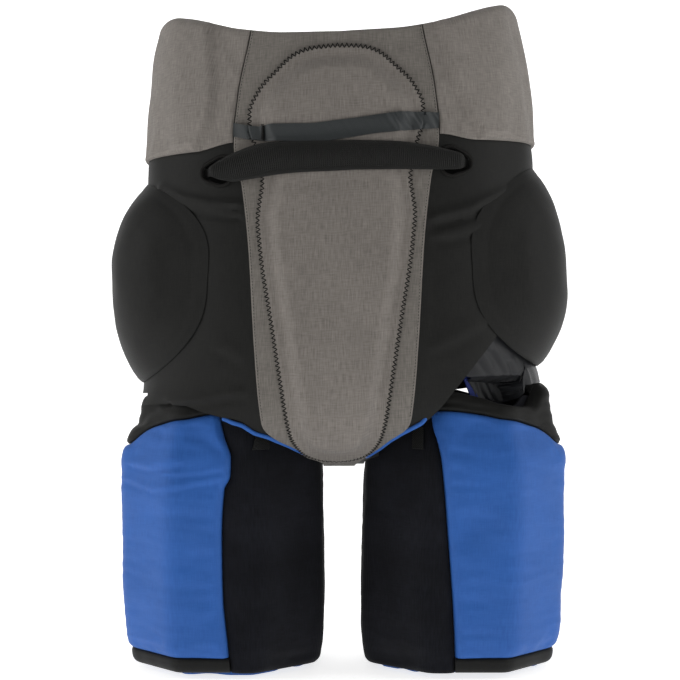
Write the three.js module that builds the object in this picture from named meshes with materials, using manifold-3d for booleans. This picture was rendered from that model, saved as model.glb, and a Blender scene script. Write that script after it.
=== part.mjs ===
// Padded shorts that guard the hips and thighs: a black stretch brief with a grey waistband and centre panel,
// domed hip pads, and two padded leg tubes with blue outer pads.
// Millimetres. +X is to the right and -Y is towards the viewer of the panelled side, +Z is up.
// The origin is the middle of the hollow at the belt, where the wearer's waist carries the shorts.
import * as THREE from 'three';
import { mergeVertices } from 'three/addons/utils/BufferGeometryUtils.js';
import Module from 'manifold-3d';

const wasm = await Module();
wasm.setup();

// Brief
const hipHalfWidth = 172;
const hipHalfDepth = 116;
const wingHeight = 137; // belt to the highest point of the waistband
const crotchDepth = 251; // belt to the lowest point between the legs
const roundness = 2.4; // exponent of the brief's outline seen from above
const shellWall = 2;
const waistLean = 0.042; // the left side sits lower by this share of its distance from the middle
const leanStart = 180; // the lean fades out from here below the belt
const leanFade = 80;

// Waistband
const bandBottom = 19;
const bandFoam = 7;
const bandEdge = 2.2; // thickness at the seams beside the centre panel
const seamHalfWidth = 84.5; // half the width between those seams
const foamInset = 22; // from the seam to the full thickness

// Centre panel and its pad
const panelShift = -3;
const panelWall = 1.5;
const padTop = 99;
const padBottom = 243;
const padHalfWidth = 71;
const padFoam = 9;
const padEdge = 2.5;
const padShoulder = 12; // from the pad's outline to where nothing lifts the tape

// Hip pads
const domeFoam = 31;
const domeEdge = 4;
const domeLevel = 86; // below the belt
const domeHalfLength = 97;
const domeHalfHeight = 86;
const domeSquareness = 2.8;

// Belt, its slots, and the tape above it
const beltWidth = 25;
const beltWall = 1.6;
const beltBow = 4; // the belt rises by this in the middle of the pad
const beltSeat = 0.8; // share of the pad's foam that is left under the belt
const beltMargin = 6; // the pad is pressed in for this much above and below the belt
const slotReach = 110; // from the middle of the panel to the outer end of a slot
const slotLength = 22;
const slotSlack = 1.5;
const rimWidth = 3;
const rimHeight = 1.6;
const tapeWidth = 14;
const tapeWall = 1;
const tapeLevel = 34;
const tapeRise = 8;
const tapeDip = 4.5;
const tapeReach = 80;
const tabLength = 27;

// Legs
const legHalfWidth = 87.5;
const legHalfDepth = 92;
const legLength = 168; // crotch to hem
const legHead = 66; // how far a leg tube reaches up above the crotch
const outerFoam = 13;
const innerFoam = 11;
const sleeveWall = 2;
const hemHeight = 13;
const hemWall = 5;
const strapHeight = 18;
const strapWall = 1.2;
const strapDrop = 1.6; // how far the strap shows below the hem
const legTabWidth = 10;
const legTabHeight = 17;
const legTabWall = 1;
const legTabRise = 14; // from the lowest point of the brief up to the tab
const facetSharpness = 20;

// Leg openings
const pipingWidth = 3.5;
const pipingWall = 3.4;
const gussetWall = 1.6;

// Clearances
const gap = 0.4;
const looseGap = 1.1;

const columns = 40;
const legColumns = 20;
const far = 400;

// Sections of the brief, top to bottom. level: 1 is the wing height, -1 the crotch depth.
// width and depth are shares of the hip half width and half depth.
const briefSections = [
  { level: 1.24, width: 0.81, depth: 0.86 },
  { level: 0.5, width: 0.93, depth: 0.92 },
  { level: 0.18, width: 0.955, depth: 0.935 },
  { level: 0.128, width: 0.975, depth: 0.945 },
  { level: -0.054, width: 0.978, depth: 0.955 },
  { level: -0.17, width: 0.98, depth: 0.975 },
  { level: -0.37, width: 0.985, depth: 1.0 },
  { level: -0.56, width: 0.99, depth: 0.995 },
  { level: -0.7, width: 1.0, depth: 0.965 },
  { level: -0.785, width: 1.03, depth: 0.92 },
  { level: -0.85, width: 1.05, depth: 0.84 },
  { level: -0.905, width: 1.06, depth: 0.68 },
  { level: -0.96, width: 1.06, depth: 0.43 },
  { level: -1.0, width: 1.06, depth: 0 },
];

// Top edge of the waistband. across: share of the hip half width. rise: share of the wing height.
const topEdge = [
  { across: -1.2, rise: 0.9 },
  { across: -0.88, rise: 0.99 },
  { across: -0.81, rise: 1.0 },
  { across: -0.72, rise: 0.968 },
  { across: -0.63, rise: 0.927 },
  { across: -0.48, rise: 0.865 },
  { across: -0.26, rise: 0.822 },
  { across: 0, rise: 0.812 },
  { across: 0.26, rise: 0.822 },
  { across: 0.48, rise: 0.865 },
  { across: 0.63, rise: 0.927 },
  { across: 0.72, rise: 0.968 },
  { across: 0.81, rise: 1.0 },
  { across: 0.88, rise: 0.99 },
  { across: 1.2, rise: 0.9 },
];

// Half width of the centre panel. level as for the brief, width as a share of the seam half width.
const panelEdge = [
  { level: 1.24, width: 0.76 },
  { level: 0.86, width: 0.828 },
  { level: 0.47, width: 0.955 },
  { level: 0.175, width: 1.0 },
  { level: 0.06, width: 0.985 },
  { level: -0.052, width: 0.92 },
  { level: -0.27, width: 0.85 },
  { level: -0.57, width: 0.8 },
  { level: -0.83, width: 0.735 },
  { level: -1.1, width: 0.68 },
];

// Outline of the centre pad. down: share of its length from the top. width: share of its half width.
const padOutline = [
  { down: 0, width: 0 },
  { down: 0.01, width: 0.4 },
  { down: 0.049, width: 0.614 },
  { down: 0.099, width: 0.89 },
  { down: 0.153, width: 1.0 },
  { down: 0.186, width: 0.998 },
  { down: 0.325, width: 0.85 },
  { down: 0.413, width: 0.904 },
  { down: 0.512, width: 0.859 },
  { down: 0.645, width: 0.758 },
  { down: 0.787, width: 0.655 },
  { down: 0.909, width: 0.563 },
  { down: 0.942, width: 0.514 },
  { down: 0.974, width: 0.408 },
  { down: 0.994, width: 0.25 },
  { down: 1, width: 0 },
];

// Leg sections, top to bottom. down: share from the head to the hem.
// width and depth are shares of the leg's half width and half depth.
const legSections = [
  { down: -0.12, width: 0.77, depth: 0.82 },
  { down: 0.135, width: 0.86, depth: 0.91 },
  { down: 0.21, width: 0.96, depth: 0.97 },
  { down: 0.27, width: 0.995, depth: 1.0 },
  { down: 0.7, width: 1.0, depth: 1.01 },
  { down: 0.92, width: 0.985, depth: 0.99 },
  { down: 1.06, width: 0.94, depth: 0.94 },
];

// Flat faces of a leg tube, by the direction they face.
// turn: degrees from the outer side, negative to the viewer.
const legFacets = [
  { turn: 0, width: 1.0, depth: 0 },
  { turn: -39, width: 0.6, depth: 0.41 },
  { turn: -90, width: 0, depth: 1.0 },
  { turn: -135, width: 0.5, depth: 0.49 },
  { turn: 180, width: 1.0, depth: 0 },
  { turn: 135, width: 0.5, depth: 0.49 },
  { turn: 90, width: 0, depth: 1.0 },
  { turn: 39, width: 0.6, depth: 0.41 },
];

// Top edges on a leg. across: share of the leg's full width, from its inner side.
// drop: share of the leg head.
const sleeveTop = [
  { across: 0, drop: 0.45 },
  { across: 0.25, drop: 0.08 },
  { across: 0.38, drop: 0.02 },
  { across: 0.56, drop: 0.1 },
  { across: 0.7, drop: 0.2 },
  { across: 0.85, drop: 0.3 },
  { across: 1, drop: 0.45 },
];
const blueTop = [
  { across: 0, drop: 0.28 },
  { across: 0.35, drop: 0.28 },
  { across: 0.49, drop: 0.31 },
  { across: 0.61, drop: 0.36 },
  { across: 0.73, drop: 0.44 },
  { across: 0.82, drop: 0.53 },
  { across: 0.9, drop: 0.65 },
  { across: 1, drop: 0.83 },
];

// The two legs. side: 1 is the right. The middles are shares of the hip half width, the others of the leg's.
// Middle: from the centre of the shorts, at the head and at the hem. Join: from the middle of the leg inwards
// to the join of its two pads. tab: from there to the small tab.
const legTable = [
  { side: -1, headMiddle: 0.602, hemMiddle: 0.576, headJoin: 0.057, hemJoin: 0.103, tab: 0.39 },
  { side: 1, headMiddle: 0.645, hemMiddle: 0.599, headJoin: 0.286, hemJoin: 0.091, tab: 0.457 },
];
const legs = legTable.map((row) => ({
  side: row.side,
  name: row.side < 0 ? 'left' : 'right',
  headMiddle: row.headMiddle * hipHalfWidth,
  hemMiddle: row.hemMiddle * hipHalfWidth,
  headJoin: row.headJoin * legHalfWidth,
  hemJoin: row.hemJoin * legHalfWidth,
  tab: row.tab * legHalfWidth,
}));

const clamp = (value, low, high) => Math.min(high, Math.max(low, value));
const ease = (t) => clamp(t, 0, 1) ** 2 * (3 - 2 * clamp(t, 0, 1));
const span = (from, to, steps) => Array.from({ length: steps + 1 }, (_, i) => from + ((to - from) * i) / steps);

// Reads a table of rows at a place along its first column, which may rise or fall.
function readTable(rows, key, at, column) {
  const last = rows.length - 1;
  const turned = rows[0][key] > rows[last][key] ? -1 : 1;
  let i = 0;
  while (i < last - 1 && turned * rows[i + 1][key] < turned * at) i += 1;
  const t = clamp((at - rows[i][key]) / (rows[i + 1][key] - rows[i][key]), 0, 1);
  return rows[i][column] + t * (rows[i + 1][column] - rows[i][column]);
}

const levelHeight = (level) => level * (level > 0 ? wingHeight : crotchDepth);
const heightLevel = (z) => z / (z > 0 ? wingHeight : crotchDepth);
const lean = (x, z) => waistLean * x * ease((z + leanStart + leanFade) / leanFade);
const leaned = ([x, z]) => [x, z + lean(x, z)];

// Solids
function solidOf(geometry) {
  const bare = new THREE.BufferGeometry();
  bare.setAttribute('position', geometry.getAttribute('position').clone());
  if (geometry.index) bare.setIndex(geometry.index.clone());
  const merged = mergeVertices(bare, 1e-3);
  const vertProperties = new Float32Array(merged.attributes.position.array);
  const triVerts = new Uint32Array(merged.index.array);
  return new wasm.Manifold(new wasm.Mesh({ numProp: 3, vertProperties, triVerts }));
}

function geometryOf(solid) {
  const { vertProperties, triVerts } = solid.getMesh();
  const geometry = new THREE.BufferGeometry();
  geometry.setAttribute('position', new THREE.BufferAttribute(new Float32Array(vertProperties), 3));
  geometry.setIndex(new THREE.BufferAttribute(new Uint32Array(triVerts), 1));
  return geometry;
}

// The largest body of a solid, without the slivers that a cut can leave.
const mainBody = (solid) => solid.decompose().sort((a, b) => b.volume() - a.volume())[0];
const cutAll = (solid, cutters) => cutters.reduce((rest, cutter) => rest.subtract(cutter), solid);

// A tube of rings, top to bottom, with a fan over its top and, where it doesn't close on itself, its foot.
function tubeGeometry(rings, closesItself) {
  const count = rings[0].length;
  const positions = rings.flat().flatMap((p) => [p.x, p.y, p.z]);
  const index = [];
  for (let i = 0; i + 1 < rings.length; i += 1) {
    for (let j = 0; j < count; j += 1) {
      const a = i * count + j;
      const b = i * count + ((j + 1) % count);
      index.push(a, a + count, b + count, a, b + count, b);
    }
  }
  const fan = (ring, start, upward) => {
    const hub = positions.length / 3;
    const middle = ring.reduce((sum, p) => sum.add(p), new THREE.Vector3()).divideScalar(count);
    positions.push(middle.x, middle.y, middle.z);
    for (let j = 0; j < count; j += 1) {
      const next = start + ((j + 1) % count);
      index.push(hub, upward ? start + j : next, upward ? next : start + j);
    }
  };
  fan(rings[0], 0, true);
  if (!closesItself) fan(rings.at(-1), (rings.length - 1) * count, false);
  const geometry = new THREE.BufferGeometry();
  geometry.setAttribute('position', new THREE.Float32BufferAttribute(positions, 3));
  geometry.setIndex(index);
  const merged = mergeVertices(geometry, 1e-3);
  merged.computeVertexNormals();
  return merged;
}

// A closed form with each point moved out along its normal, by a length or by a function of the point.
function inflate(form, outward) {
  const moved = form.clone();
  const position = moved.attributes.position;
  const normal = form.attributes.normal;
  const point = new THREE.Vector3();
  const step = new THREE.Vector3();
  for (let i = 0; i < position.count; i += 1) {
    point.fromBufferAttribute(position, i);
    const out = typeof outward === 'function' ? outward(point) : outward;
    step.fromBufferAttribute(normal, i).multiplyScalar(out);
    point.add(step);
    position.setXYZ(i, point.x, point.y, point.z);
  }
  return solidOf(moved);
}

const layer = (form, inner, outer) => inflate(form, outer).subtract(inflate(form, inner));

// An outline in the x-z plane, carried through from one y to another.
function prism(points, yFrom = -far, yTo = far) {
  const shape = new THREE.Shape(points.map(([x, z]) => new THREE.Vector2(x, z)));
  const geometry = new THREE.ExtrudeGeometry(shape, { depth: yTo - yFrom, bevelEnabled: false, steps: 1 });
  geometry.rotateX(Math.PI / 2);
  geometry.translate(0, yTo, 0);
  return solidOf(geometry);
}

// An outline in the y-z plane, carried out from the middle to one side.
function sidePrism(points, side) {
  const shape = new THREE.Shape(points.map(([y, z]) => new THREE.Vector2(y, z)));
  const geometry = new THREE.ExtrudeGeometry(shape, { depth: far, bevelEnabled: false, steps: 1 });
  const across = new THREE.Vector3(0, 1, 0);
  const up = new THREE.Vector3(0, 0, 1);
  geometry.applyMatrix4(new THREE.Matrix4().makeBasis(across, up, new THREE.Vector3(1, 0, 0)));
  if (side < 0) geometry.translate(-far, 0, 0);
  return solidOf(geometry);
}

const box = (xFrom, xTo, zFrom, zTo, yFrom, yTo) =>
  prism([[xFrom, zFrom], [xTo, zFrom], [xTo, zTo], [xFrom, zTo]], yFrom, yTo);
const halfSpace = (side) => (side < 0 ? box(-far, 0, -2 * far, far) : box(0, far, -2 * far, far));
const aboveHeight = (z) => box(-far, far, z, far);

// Everything under, or over, a line of points that runs left to right.
const underLine = (line) =>
  prism([[-far, line[0][1]], ...line, [far, line.at(-1)[1]], [far, -2 * far], [-far, -2 * far]]);
const overLine = (line) => prism([[-far, line[0][1]], ...line, [far, line.at(-1)[1]], [far, far], [-far, far]]);

// Brief form
const bent = (value, exponent) => Math.sign(value) * Math.abs(value) ** (2 / exponent);

function briefPoint(angle, z) {
  const level = heightLevel(z);
  const width = hipHalfWidth * readTable(briefSections, 'level', level, 'width');
  const depth = hipHalfDepth * readTable(briefSections, 'level', level, 'depth');
  const x = width * bent(Math.cos(angle), roundness);
  return new THREE.Vector3(x, depth * bent(Math.sin(angle), roundness), z + lean(x, z));
}

const columnAngle = (j) => (2 * Math.PI * j) / columns;
const briefRings = briefSections.map(({ level }) =>
  span(0, columns - 1, columns - 1).map((j) => briefPoint(columnAngle(j), levelHeight(level))),
);
const briefForm = tubeGeometry(briefRings, true);
const briefLayer = (inner, outer) => layer(briefForm, inner, outer);

// Waistband edges
const topLine = (drop) =>
  topEdge.map(({ across, rise }) => leaned([across * hipHalfWidth, rise * wingHeight - drop]));
const underTop = (drop) => underLine(topLine(drop));
const footLine = (rise) =>
  [-1, 1].map((side) => leaned([side * hipHalfWidth, bandBottom + rise]));
const overFoot = (rise) => overLine(footLine(rise));

function bandThickness(point) {
  const fromSeam = Math.abs(point.x - panelShift) - seamHalfWidth;
  return gap + bandEdge + (bandFoam - bandEdge) * ease(fromSeam / foamInset);
}

// The centre panel's region, widened by an amount, between two depths.
function panelRegion(widen, yFrom, yTo) {
  const edge = (side) => ({ level, width }) =>
    leaned([panelShift + side * (seamHalfWidth * width + widen), levelHeight(level)]);
  return prism([...panelEdge.map(edge(-1)), ...[...panelEdge].reverse().map(edge(1))], yFrom, yTo);
}

// The centre pad's outline and its raised middle
const padLength = padTop + padBottom;
const padHalfAt = (z) => padHalfWidth * readTable(padOutline, 'down', (padTop - z) / padLength, 'width');

function padRegion() {
  const edge = (side) => ({ down, width }) =>
    leaned([panelShift + side * width * padHalfWidth, padTop - down * padLength]);
  const rightSide = padOutline.slice(1, -1).reverse().map(edge(1));
  return prism([...padOutline.map(edge(-1)), ...rightSide], -far, 0);
}

const beltLift = (x) => beltBow * Math.max(0, 1 - ((x - panelShift) / slotReach) ** 2);

function padRise(point) {
  const z = point.z - lean(point.x, point.z);
  const fromSide = padHalfAt(z) - Math.abs(point.x - panelShift);
  const inside = point.y < 0 ? Math.min(fromSide, padTop - z, z + padBottom) : -padShoulder;
  const fromBelt = Math.abs(z - beltLift(point.x)) - beltWidth / 2 - beltMargin;
  const seat = beltSeat + (1 - beltSeat) * ease(fromBelt / padShoulder);
  const edge = padEdge * ease(1 + inside / padShoulder);
  return edge + (padFoam - padEdge) * ease(inside / foamInset) * seat;
}

const overPanel = 2 * gap + panelWall;
const overPad = (extra) => (point) => overPanel + padRise(point) + gap + extra;

// Hip pads
const domeAt = (y, z) => {
  const along = Math.abs(y / domeHalfLength) ** domeSquareness;
  const up = Math.abs((z + domeLevel) / domeHalfHeight) ** domeSquareness;
  return (along + up) ** (1 / domeSquareness);
};

function domeOutline(side) {
  const lowered = lean(side * hipHalfWidth, -domeLevel);
  return span(0, 31, 31).map((k) => {
    const angle = (2 * Math.PI * k) / 32;
    const y = domeHalfLength * bent(Math.cos(angle), domeSquareness);
    return [y, domeHalfHeight * bent(Math.sin(angle), domeSquareness) - domeLevel + lowered];
  });
}

function hipPad(side) {
  const rise = (point) => {
    const reach = domeAt(point.y, point.z - lean(point.x, point.z));
    return gap + domeEdge + (domeFoam - domeEdge) * Math.sqrt(clamp(1 - reach ** 2.2, 0, 1));
  };
  return briefLayer(gap, rise).intersect(sidePrism(domeOutline(side), side));
}

// Legs
const hemLevel = -(crotchDepth + legLength);
const headLevel = -(crotchDepth - legHead);
const legHeight = headLevel - hemLevel;
const alongLeg = (leg, z, head, hem) => leg[head] + ((headLevel - z) / legHeight) * (leg[hem] - leg[head]);
const legMiddle = (leg, z) => leg.side * alongLeg(leg, z, 'headMiddle', 'hemMiddle');
const legJoin = (leg, z) => legMiddle(leg, z) - leg.side * alongLeg(leg, z, 'headJoin', 'hemJoin');

function legRadius(angle, widthShare, depthShare) {
  const width = legHalfWidth * widthShare - outerFoam - gap;
  const depth = legHalfDepth * depthShare - outerFoam - gap;
  const sum = legFacets.reduce((total, facet) => {
    const facing = Math.cos(angle - THREE.MathUtils.degToRad(facet.turn));
    return total + Math.max(0, facing / (width * facet.width + depth * facet.depth)) ** facetSharpness;
  }, 0);
  return sum ** (-1 / facetSharpness);
}

function legForm(leg) {
  const rings = legSections.map(({ down, width, depth }) => {
    const z = headLevel - down * legHeight;
    const ring = span(0, legColumns - 1, legColumns - 1).map((j) => {
      const angle = (2 * Math.PI * j) / legColumns;
      const radius = legRadius(angle, width, depth);
      const x = legMiddle(leg, z) + leg.side * radius * Math.cos(angle);
      return new THREE.Vector3(x, radius * Math.sin(angle), z);
    });
    return leg.side < 0 ? ring.reverse() : ring;
  });
  return tubeGeometry(rings, false);
}

// Everything under an edge over a leg, which a table gives in shares.
function underLegEdge(leg, rows, drop) {
  const line = rows.map(({ across, drop: share }) => {
    const x = leg.side * (leg.headMiddle + (2 * across - 1) * legHalfWidth);
    return [x, headLevel - legHead * share - drop];
  });
  return underLine(leg.side < 0 ? line.reverse() : line);
}

// The part of a leg on one side of the join between its pads.
// outward is 1 for the outer side, -1 for the inner.
function legHalf(leg, outward) {
  const away = outward * leg.side;
  const edge = [far, headLevel, hemLevel, -2 * far].map((z) => {
    const level = clamp(z, hemLevel, headLevel);
    return [legJoin(leg, level) + (away * gap) / 2, z];
  });
  return prism([...edge, [away * 2 * far, -2 * far], [away * 2 * far, far]]);
}

// Foam that thins towards the hem.
const foam = (thickness) => (point) =>
  gap + hemWall + (thickness - hemWall) * ease((point.z - hemLevel) / (2 * hemHeight));

// Everything that a leg tube fills, pads and hollow included, below its top edge.
const legBulk = (form, leg, clearance) =>
  inflate(form, outerFoam + gap + clearance).intersect(underLegEdge(leg, sleeveTop, -clearance));

// Cuts in the brief beside the legs, and the lining behind the front one. x: share of the hip half width.
// down: share of the crotch depth.
const cuts = {
  front: [
    { x: 0.45, down: 0.86 },
    { x: 0.47, down: 0.81 },
    { x: 0.767, down: 0.568 },
    { x: 0.88, down: 0.61 },
    { x: 1.3, down: 0.68 },
    { x: 1.3, down: 0.98 },
    { x: 0.45, down: 0.98 },
  ],
  back: [
    { x: 0.5, down: 0.84 },
    { x: 0.58, down: 0.77 },
    { x: 0.72, down: 0.76 },
    { x: 0.8, down: 0.84 },
    { x: 0.8, down: 0.98 },
    { x: 0.5, down: 0.98 },
  ],
  lining: [
    { x: 0.54, down: 0.7 },
    { x: 0.74, down: 0.52 },
    { x: 0.92, down: 0.55 },
    { x: 1.3, down: 0.62 },
    { x: 1.3, down: 0.9 },
    { x: 0.66, down: 0.9 },
    { x: 0.6, down: 0.712 },
  ],
};
const cutRegion = (rows, side, yFrom, yTo) =>
  prism(rows.map(({ x, down }) => leaned([side * x * hipHalfWidth, -down * crotchDepth])), yFrom, yTo);

// A slot for the belt, as an outline with round ends.
function slotRegion(side, grow) {
  const half = beltWidth / 2 + slotSlack + grow;
  const length = slotLength / 2 + grow;
  const middle = panelShift + side * (slotReach - slotLength / 2);
  const points = span(0, 15, 15).map((k) => {
    const angle = (2 * Math.PI * k) / 16;
    return leaned([middle + length * bent(Math.cos(angle), 4), half * bent(Math.sin(angle), 4)]);
  });
  return prism(points, -far, 0);
}

// The belt: over the pad between the slots, and inside the brief for the rest of its round.
const beltHigh = overPanel + padFoam * beltSeat + looseGap;
const beltLow = overPanel + padEdge + looseGap;
const beltInside = -(shellWall + looseGap + beltWall);
const beltPath = [
  { across: 0, out: beltHigh },
  { across: 0.25 * slotReach, out: beltHigh },
  { across: 0.42 * slotReach, out: beltHigh },
  { across: 0.62 * slotReach, out: (beltHigh + beltLow) / 2 },
  { across: slotReach - slotLength + rimWidth, out: beltLow },
  { across: slotReach - rimWidth, out: beltInside },
];

function beltSolid() {
  const frontAngle = (x) => -Math.acos(bent(x / briefPoint(0, 0).x, 4 / roundness));
  const leftHalf = beltPath.slice(1).reverse();
  const front = [
    ...leftHalf.map(({ across, out }) => ({ angle: frontAngle(panelShift - across), out })),
    ...beltPath.map(({ across, out }) => ({ angle: frontAngle(panelShift + across), out })),
  ];
  const round = 2 * Math.PI + front[0].angle - front.at(-1).angle;
  const steps = Math.round(columns * 0.55);
  const back = span(1, steps - 1, steps - 2).map((k) => ({
    angle: front.at(-1).angle + (round * k) / steps,
    out: beltInside,
  }));
  const rims = [
    { rise: beltWidth / 2, add: 0 },
    { rise: -beltWidth / 2, add: 0 },
    { rise: -beltWidth / 2, add: beltWall },
    { rise: beltWidth / 2, add: beltWall },
  ];
  const rings = [...front, ...back].map(({ angle, out }) => {
    const before = briefPoint(angle - 0.02, 0);
    const after = briefPoint(angle + 0.02, 0);
    const outward = new THREE.Vector3(after.y - before.y, before.x - after.x, 0).normalize();
    const lift = Math.sin(angle) < 0 ? beltLift(briefPoint(angle, 0).x) : 0;
    return rims.map(({ rise, add }) => briefPoint(angle, rise + lift).addScaledVector(outward, out + add));
  });
  const count = rims.length;
  const index = [];
  for (let j = 0; j < rings.length; j += 1) {
    const ahead = (j + 1) % rings.length;
    for (let k = 0; k < count; k += 1) {
      const next = (k + 1) % count;
      const [a, b] = [j * count + k, j * count + next];
      const [c, d] = [ahead * count + k, ahead * count + next];
      index.push(a, d, b, a, c, d);
    }
  }
  const geometry = new THREE.BufferGeometry();
  const positions = rings.flat().flatMap((p) => [p.x, p.y, p.z]);
  geometry.setAttribute('position', new THREE.Float32BufferAttribute(positions, 3));
  geometry.setIndex(index);
  return solidOf(geometry);
}

// A strip of tape across the panel, hanging a little in the middle and rising to the right.
function tapeRegion(from, to) {
  const edge = (up) => (x) => {
    const t = (x - panelShift) / tapeReach;
    return [x, tapeLevel + (tapeRise * t) / 2 - tapeDip * (1 - t * t) + (up * tapeWidth) / 2];
  };
  const places = span(from, to, Math.round((to - from) / tapeWidth));
  return prism([...places.map(edge(-1)), ...places.reverse().map(edge(1))], -far, 0);
}

// Materials
const cloth = (color, roughness) => new THREE.MeshStandardMaterial({ color, roughness, metalness: 0 });
const colours = {
  grey: cloth(0x6f6b66, 0.9),
  black: cloth(0x1d1d1c, 0.8),
  blue: cloth(0x3563ad, 0.75),
  tape: cloth(0x2c3031, 0.5),
  webbing: cloth(0x181818, 0.7),
};

const root = new THREE.Group();
function add(parent, name, solid, material) {
  const mesh = new THREE.Mesh(geometryOf(mainBody(solid)), material);
  mesh.name = name;
  parent.add(mesh);
}

const sides = [
  { name: 'left', side: -1 },
  { name: 'right', side: 1 },
];
const legTubes = legs.map((leg) => ({ leg, form: legForm(leg) }));
const pipingReach = ({ headMiddle }, grow) => box(-headMiddle - grow, headMiddle + grow, -2 * crotchDepth, 0);
const legRoom = legTubes.map(({ leg, form }) => {
  const forPiping = legBulk(form, leg, pipingWidth + 2 * gap).intersect(pipingReach(leg, gap));
  return legBulk(form, leg, gap).add(forPiping);
});

// Brief shell
const brief = new THREE.Group();
root.add(brief);
const cutOuts = [
  cutRegion(cuts.front, 1, -far, 0),
  cutRegion(cuts.back, 1, 0, far),
  cutRegion(cuts.back, -1, 0, far),
];
const slots = sides.map(({ side }) => slotRegion(side, 0));
const shell = cutAll(briefLayer(-shellWall, 0).intersect(underTop(0)), [...legRoom, ...cutOuts, ...slots]);
add(brief, 'brief_shell', shell, colours.black);

// Waistband
const bandZone = overFoot(0).intersect(underTop(gap));
const waistPads = briefLayer(gap, bandThickness).intersect(bandZone).subtract(panelRegion(gap));
sides.forEach(({ name, side }) => {
  add(brief, 'waist_pad_' + name, waistPads.intersect(halfSpace(side)), colours.grey);
});
const backPanel = briefLayer(gap, gap + bandEdge).intersect(bandZone).intersect(panelRegion(-gap, 0, far));
add(brief, 'waist_panel_back', backPanel, colours.grey);

// Centre panel and pad
const panelZone = panelRegion(-gap, -far, 0).intersect(underTop(gap));
add(brief, 'centre_panel', cutAll(briefLayer(gap, gap + panelWall).intersect(panelZone), legRoom), colours.grey);
const padBlock = briefLayer(overPanel, (point) => overPanel + padRise(point)).intersect(padRegion());
add(brief, 'centre_pad', cutAll(padBlock, legRoom), colours.grey);

// Hip pads and the rims of the slots
sides.forEach(({ name, side }) => {
  add(brief, 'hip_pad_' + name, hipPad(side), colours.black);
  const ring = slotRegion(side, rimWidth).subtract(slotRegion(side, gap)).subtract(panelRegion(gap, -far, 0));
  add(brief, 'slot_rim_' + name, briefLayer(gap, gap + rimHeight).intersect(ring), colours.black);
});

// Belt and tape
add(brief, 'belt_webbing', beltSolid(), colours.webbing);
const tapeFrom = panelShift - tapeReach;
const tapeStrip = tapeRegion(tapeFrom, tapeFrom + 2 * tapeReach);
add(brief, 'waist_tape', layer(briefForm, overPad(0), overPad(tapeWall)).intersect(tapeStrip), colours.tape);
const overTape = layer(briefForm, overPad(tapeWall + gap), overPad(2 * tapeWall + gap));
add(brief, 'tape_tab', overTape.intersect(tapeRegion(tapeFrom, tapeFrom + tabLength)), colours.tape);

// Lining behind the cut on the right
const rightTube = legTubes[1];
const liningInner = -shellWall - gap - gussetWall;
const lining = briefLayer(liningInner, -shellWall - gap).intersect(cutRegion(cuts.lining, 1, -far, 0));
add(brief, 'side_gusset_right', lining.subtract(legBulk(rightTube.form, rightTube.leg, gap)), colours.black);

// Piping round the leg openings
legTubes.forEach(({ leg, form }) => {
  const ring = legBulk(form, leg, gap + pipingWidth).subtract(legBulk(form, leg, gap));
  const wall = briefLayer(-shellWall, pipingWall - shellWall).intersect(pipingReach(leg, 0));
  add(brief, 'leg_piping_' + leg.name, cutAll(wall.intersect(ring), cutOuts), colours.blue);
});

// Legs
legTubes.forEach(({ leg, form }) => {
  const group = new THREE.Group();
  root.add(group);
  const underSleeveTop = underLegEdge(leg, sleeveTop, 0);
  const overHem = aboveHeight(hemLevel);
  const outerHalf = legHalf(leg, 1);
  const innerHalf = legHalf(leg, -1);

  const sleeve = layer(form, -sleeveWall, 0).intersect(underSleeveTop).intersect(overHem);
  add(group, 'leg_sleeve_' + leg.name, sleeve, colours.black);

  const outerFoamLayer = layer(form, gap, foam(outerFoam)).intersect(outerHalf);
  const blueZone = underLegEdge(leg, blueTop, 0).intersect(aboveHeight(hemLevel + hemHeight + gap));
  add(group, 'thigh_pad_outer_' + leg.name, outerFoamLayer.intersect(blueZone), colours.blue);

  const innerPad = layer(form, gap, foam(innerFoam)).intersect(innerHalf);
  const innerPadTrimmed = innerPad.intersect(underSleeveTop).intersect(overHem);
  add(group, 'thigh_pad_inner_' + leg.name, innerPadTrimmed, colours.black);

  const yoke = outerFoamLayer.intersect(underSleeveTop).subtract(underLegEdge(leg, blueTop, -gap));
  add(group, 'thigh_yoke_' + leg.name, yoke, colours.black);

  const hem = layer(form, gap, gap + hemWall).intersect(outerHalf);
  const hemZone = box(-far, far, hemLevel, hemLevel + hemHeight);
  add(group, 'hem_band_' + leg.name, hem.intersect(hemZone), colours.black);

  const strapOuter = -sleeveWall - gap;
  const strapZone = box(-far, far, hemLevel - strapDrop, hemLevel - strapDrop + strapHeight);
  const strap = layer(form, strapOuter - strapWall, strapOuter).intersect(strapZone);
  add(group, 'hem_strap_' + leg.name, strap, colours.blue);

  const tabOuter = gap + innerFoam + gap + legTabWall;
  const tabX = legMiddle(leg, -crotchDepth) - leg.side * leg.tab;
  const tabFoot = -crotchDepth + legTabRise;
  const tabZone = box(tabX - legTabWidth / 2, tabX + legTabWidth / 2, tabFoot, tabFoot + legTabHeight, -far, 0);
  const tab = layer(form, tabOuter - legTabWall, tabOuter).intersect(tabZone);
  add(group, 'leg_tab_' + leg.name, tab, colours.black);
});

export default root;
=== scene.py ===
# Padded shorts for hips and thighs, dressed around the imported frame.
# Lengths are in millimetres until a mesh is made, which is in metres as the frame is.
import math

import bmesh
import bpy
import numpy as np
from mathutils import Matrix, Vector, noise


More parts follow.
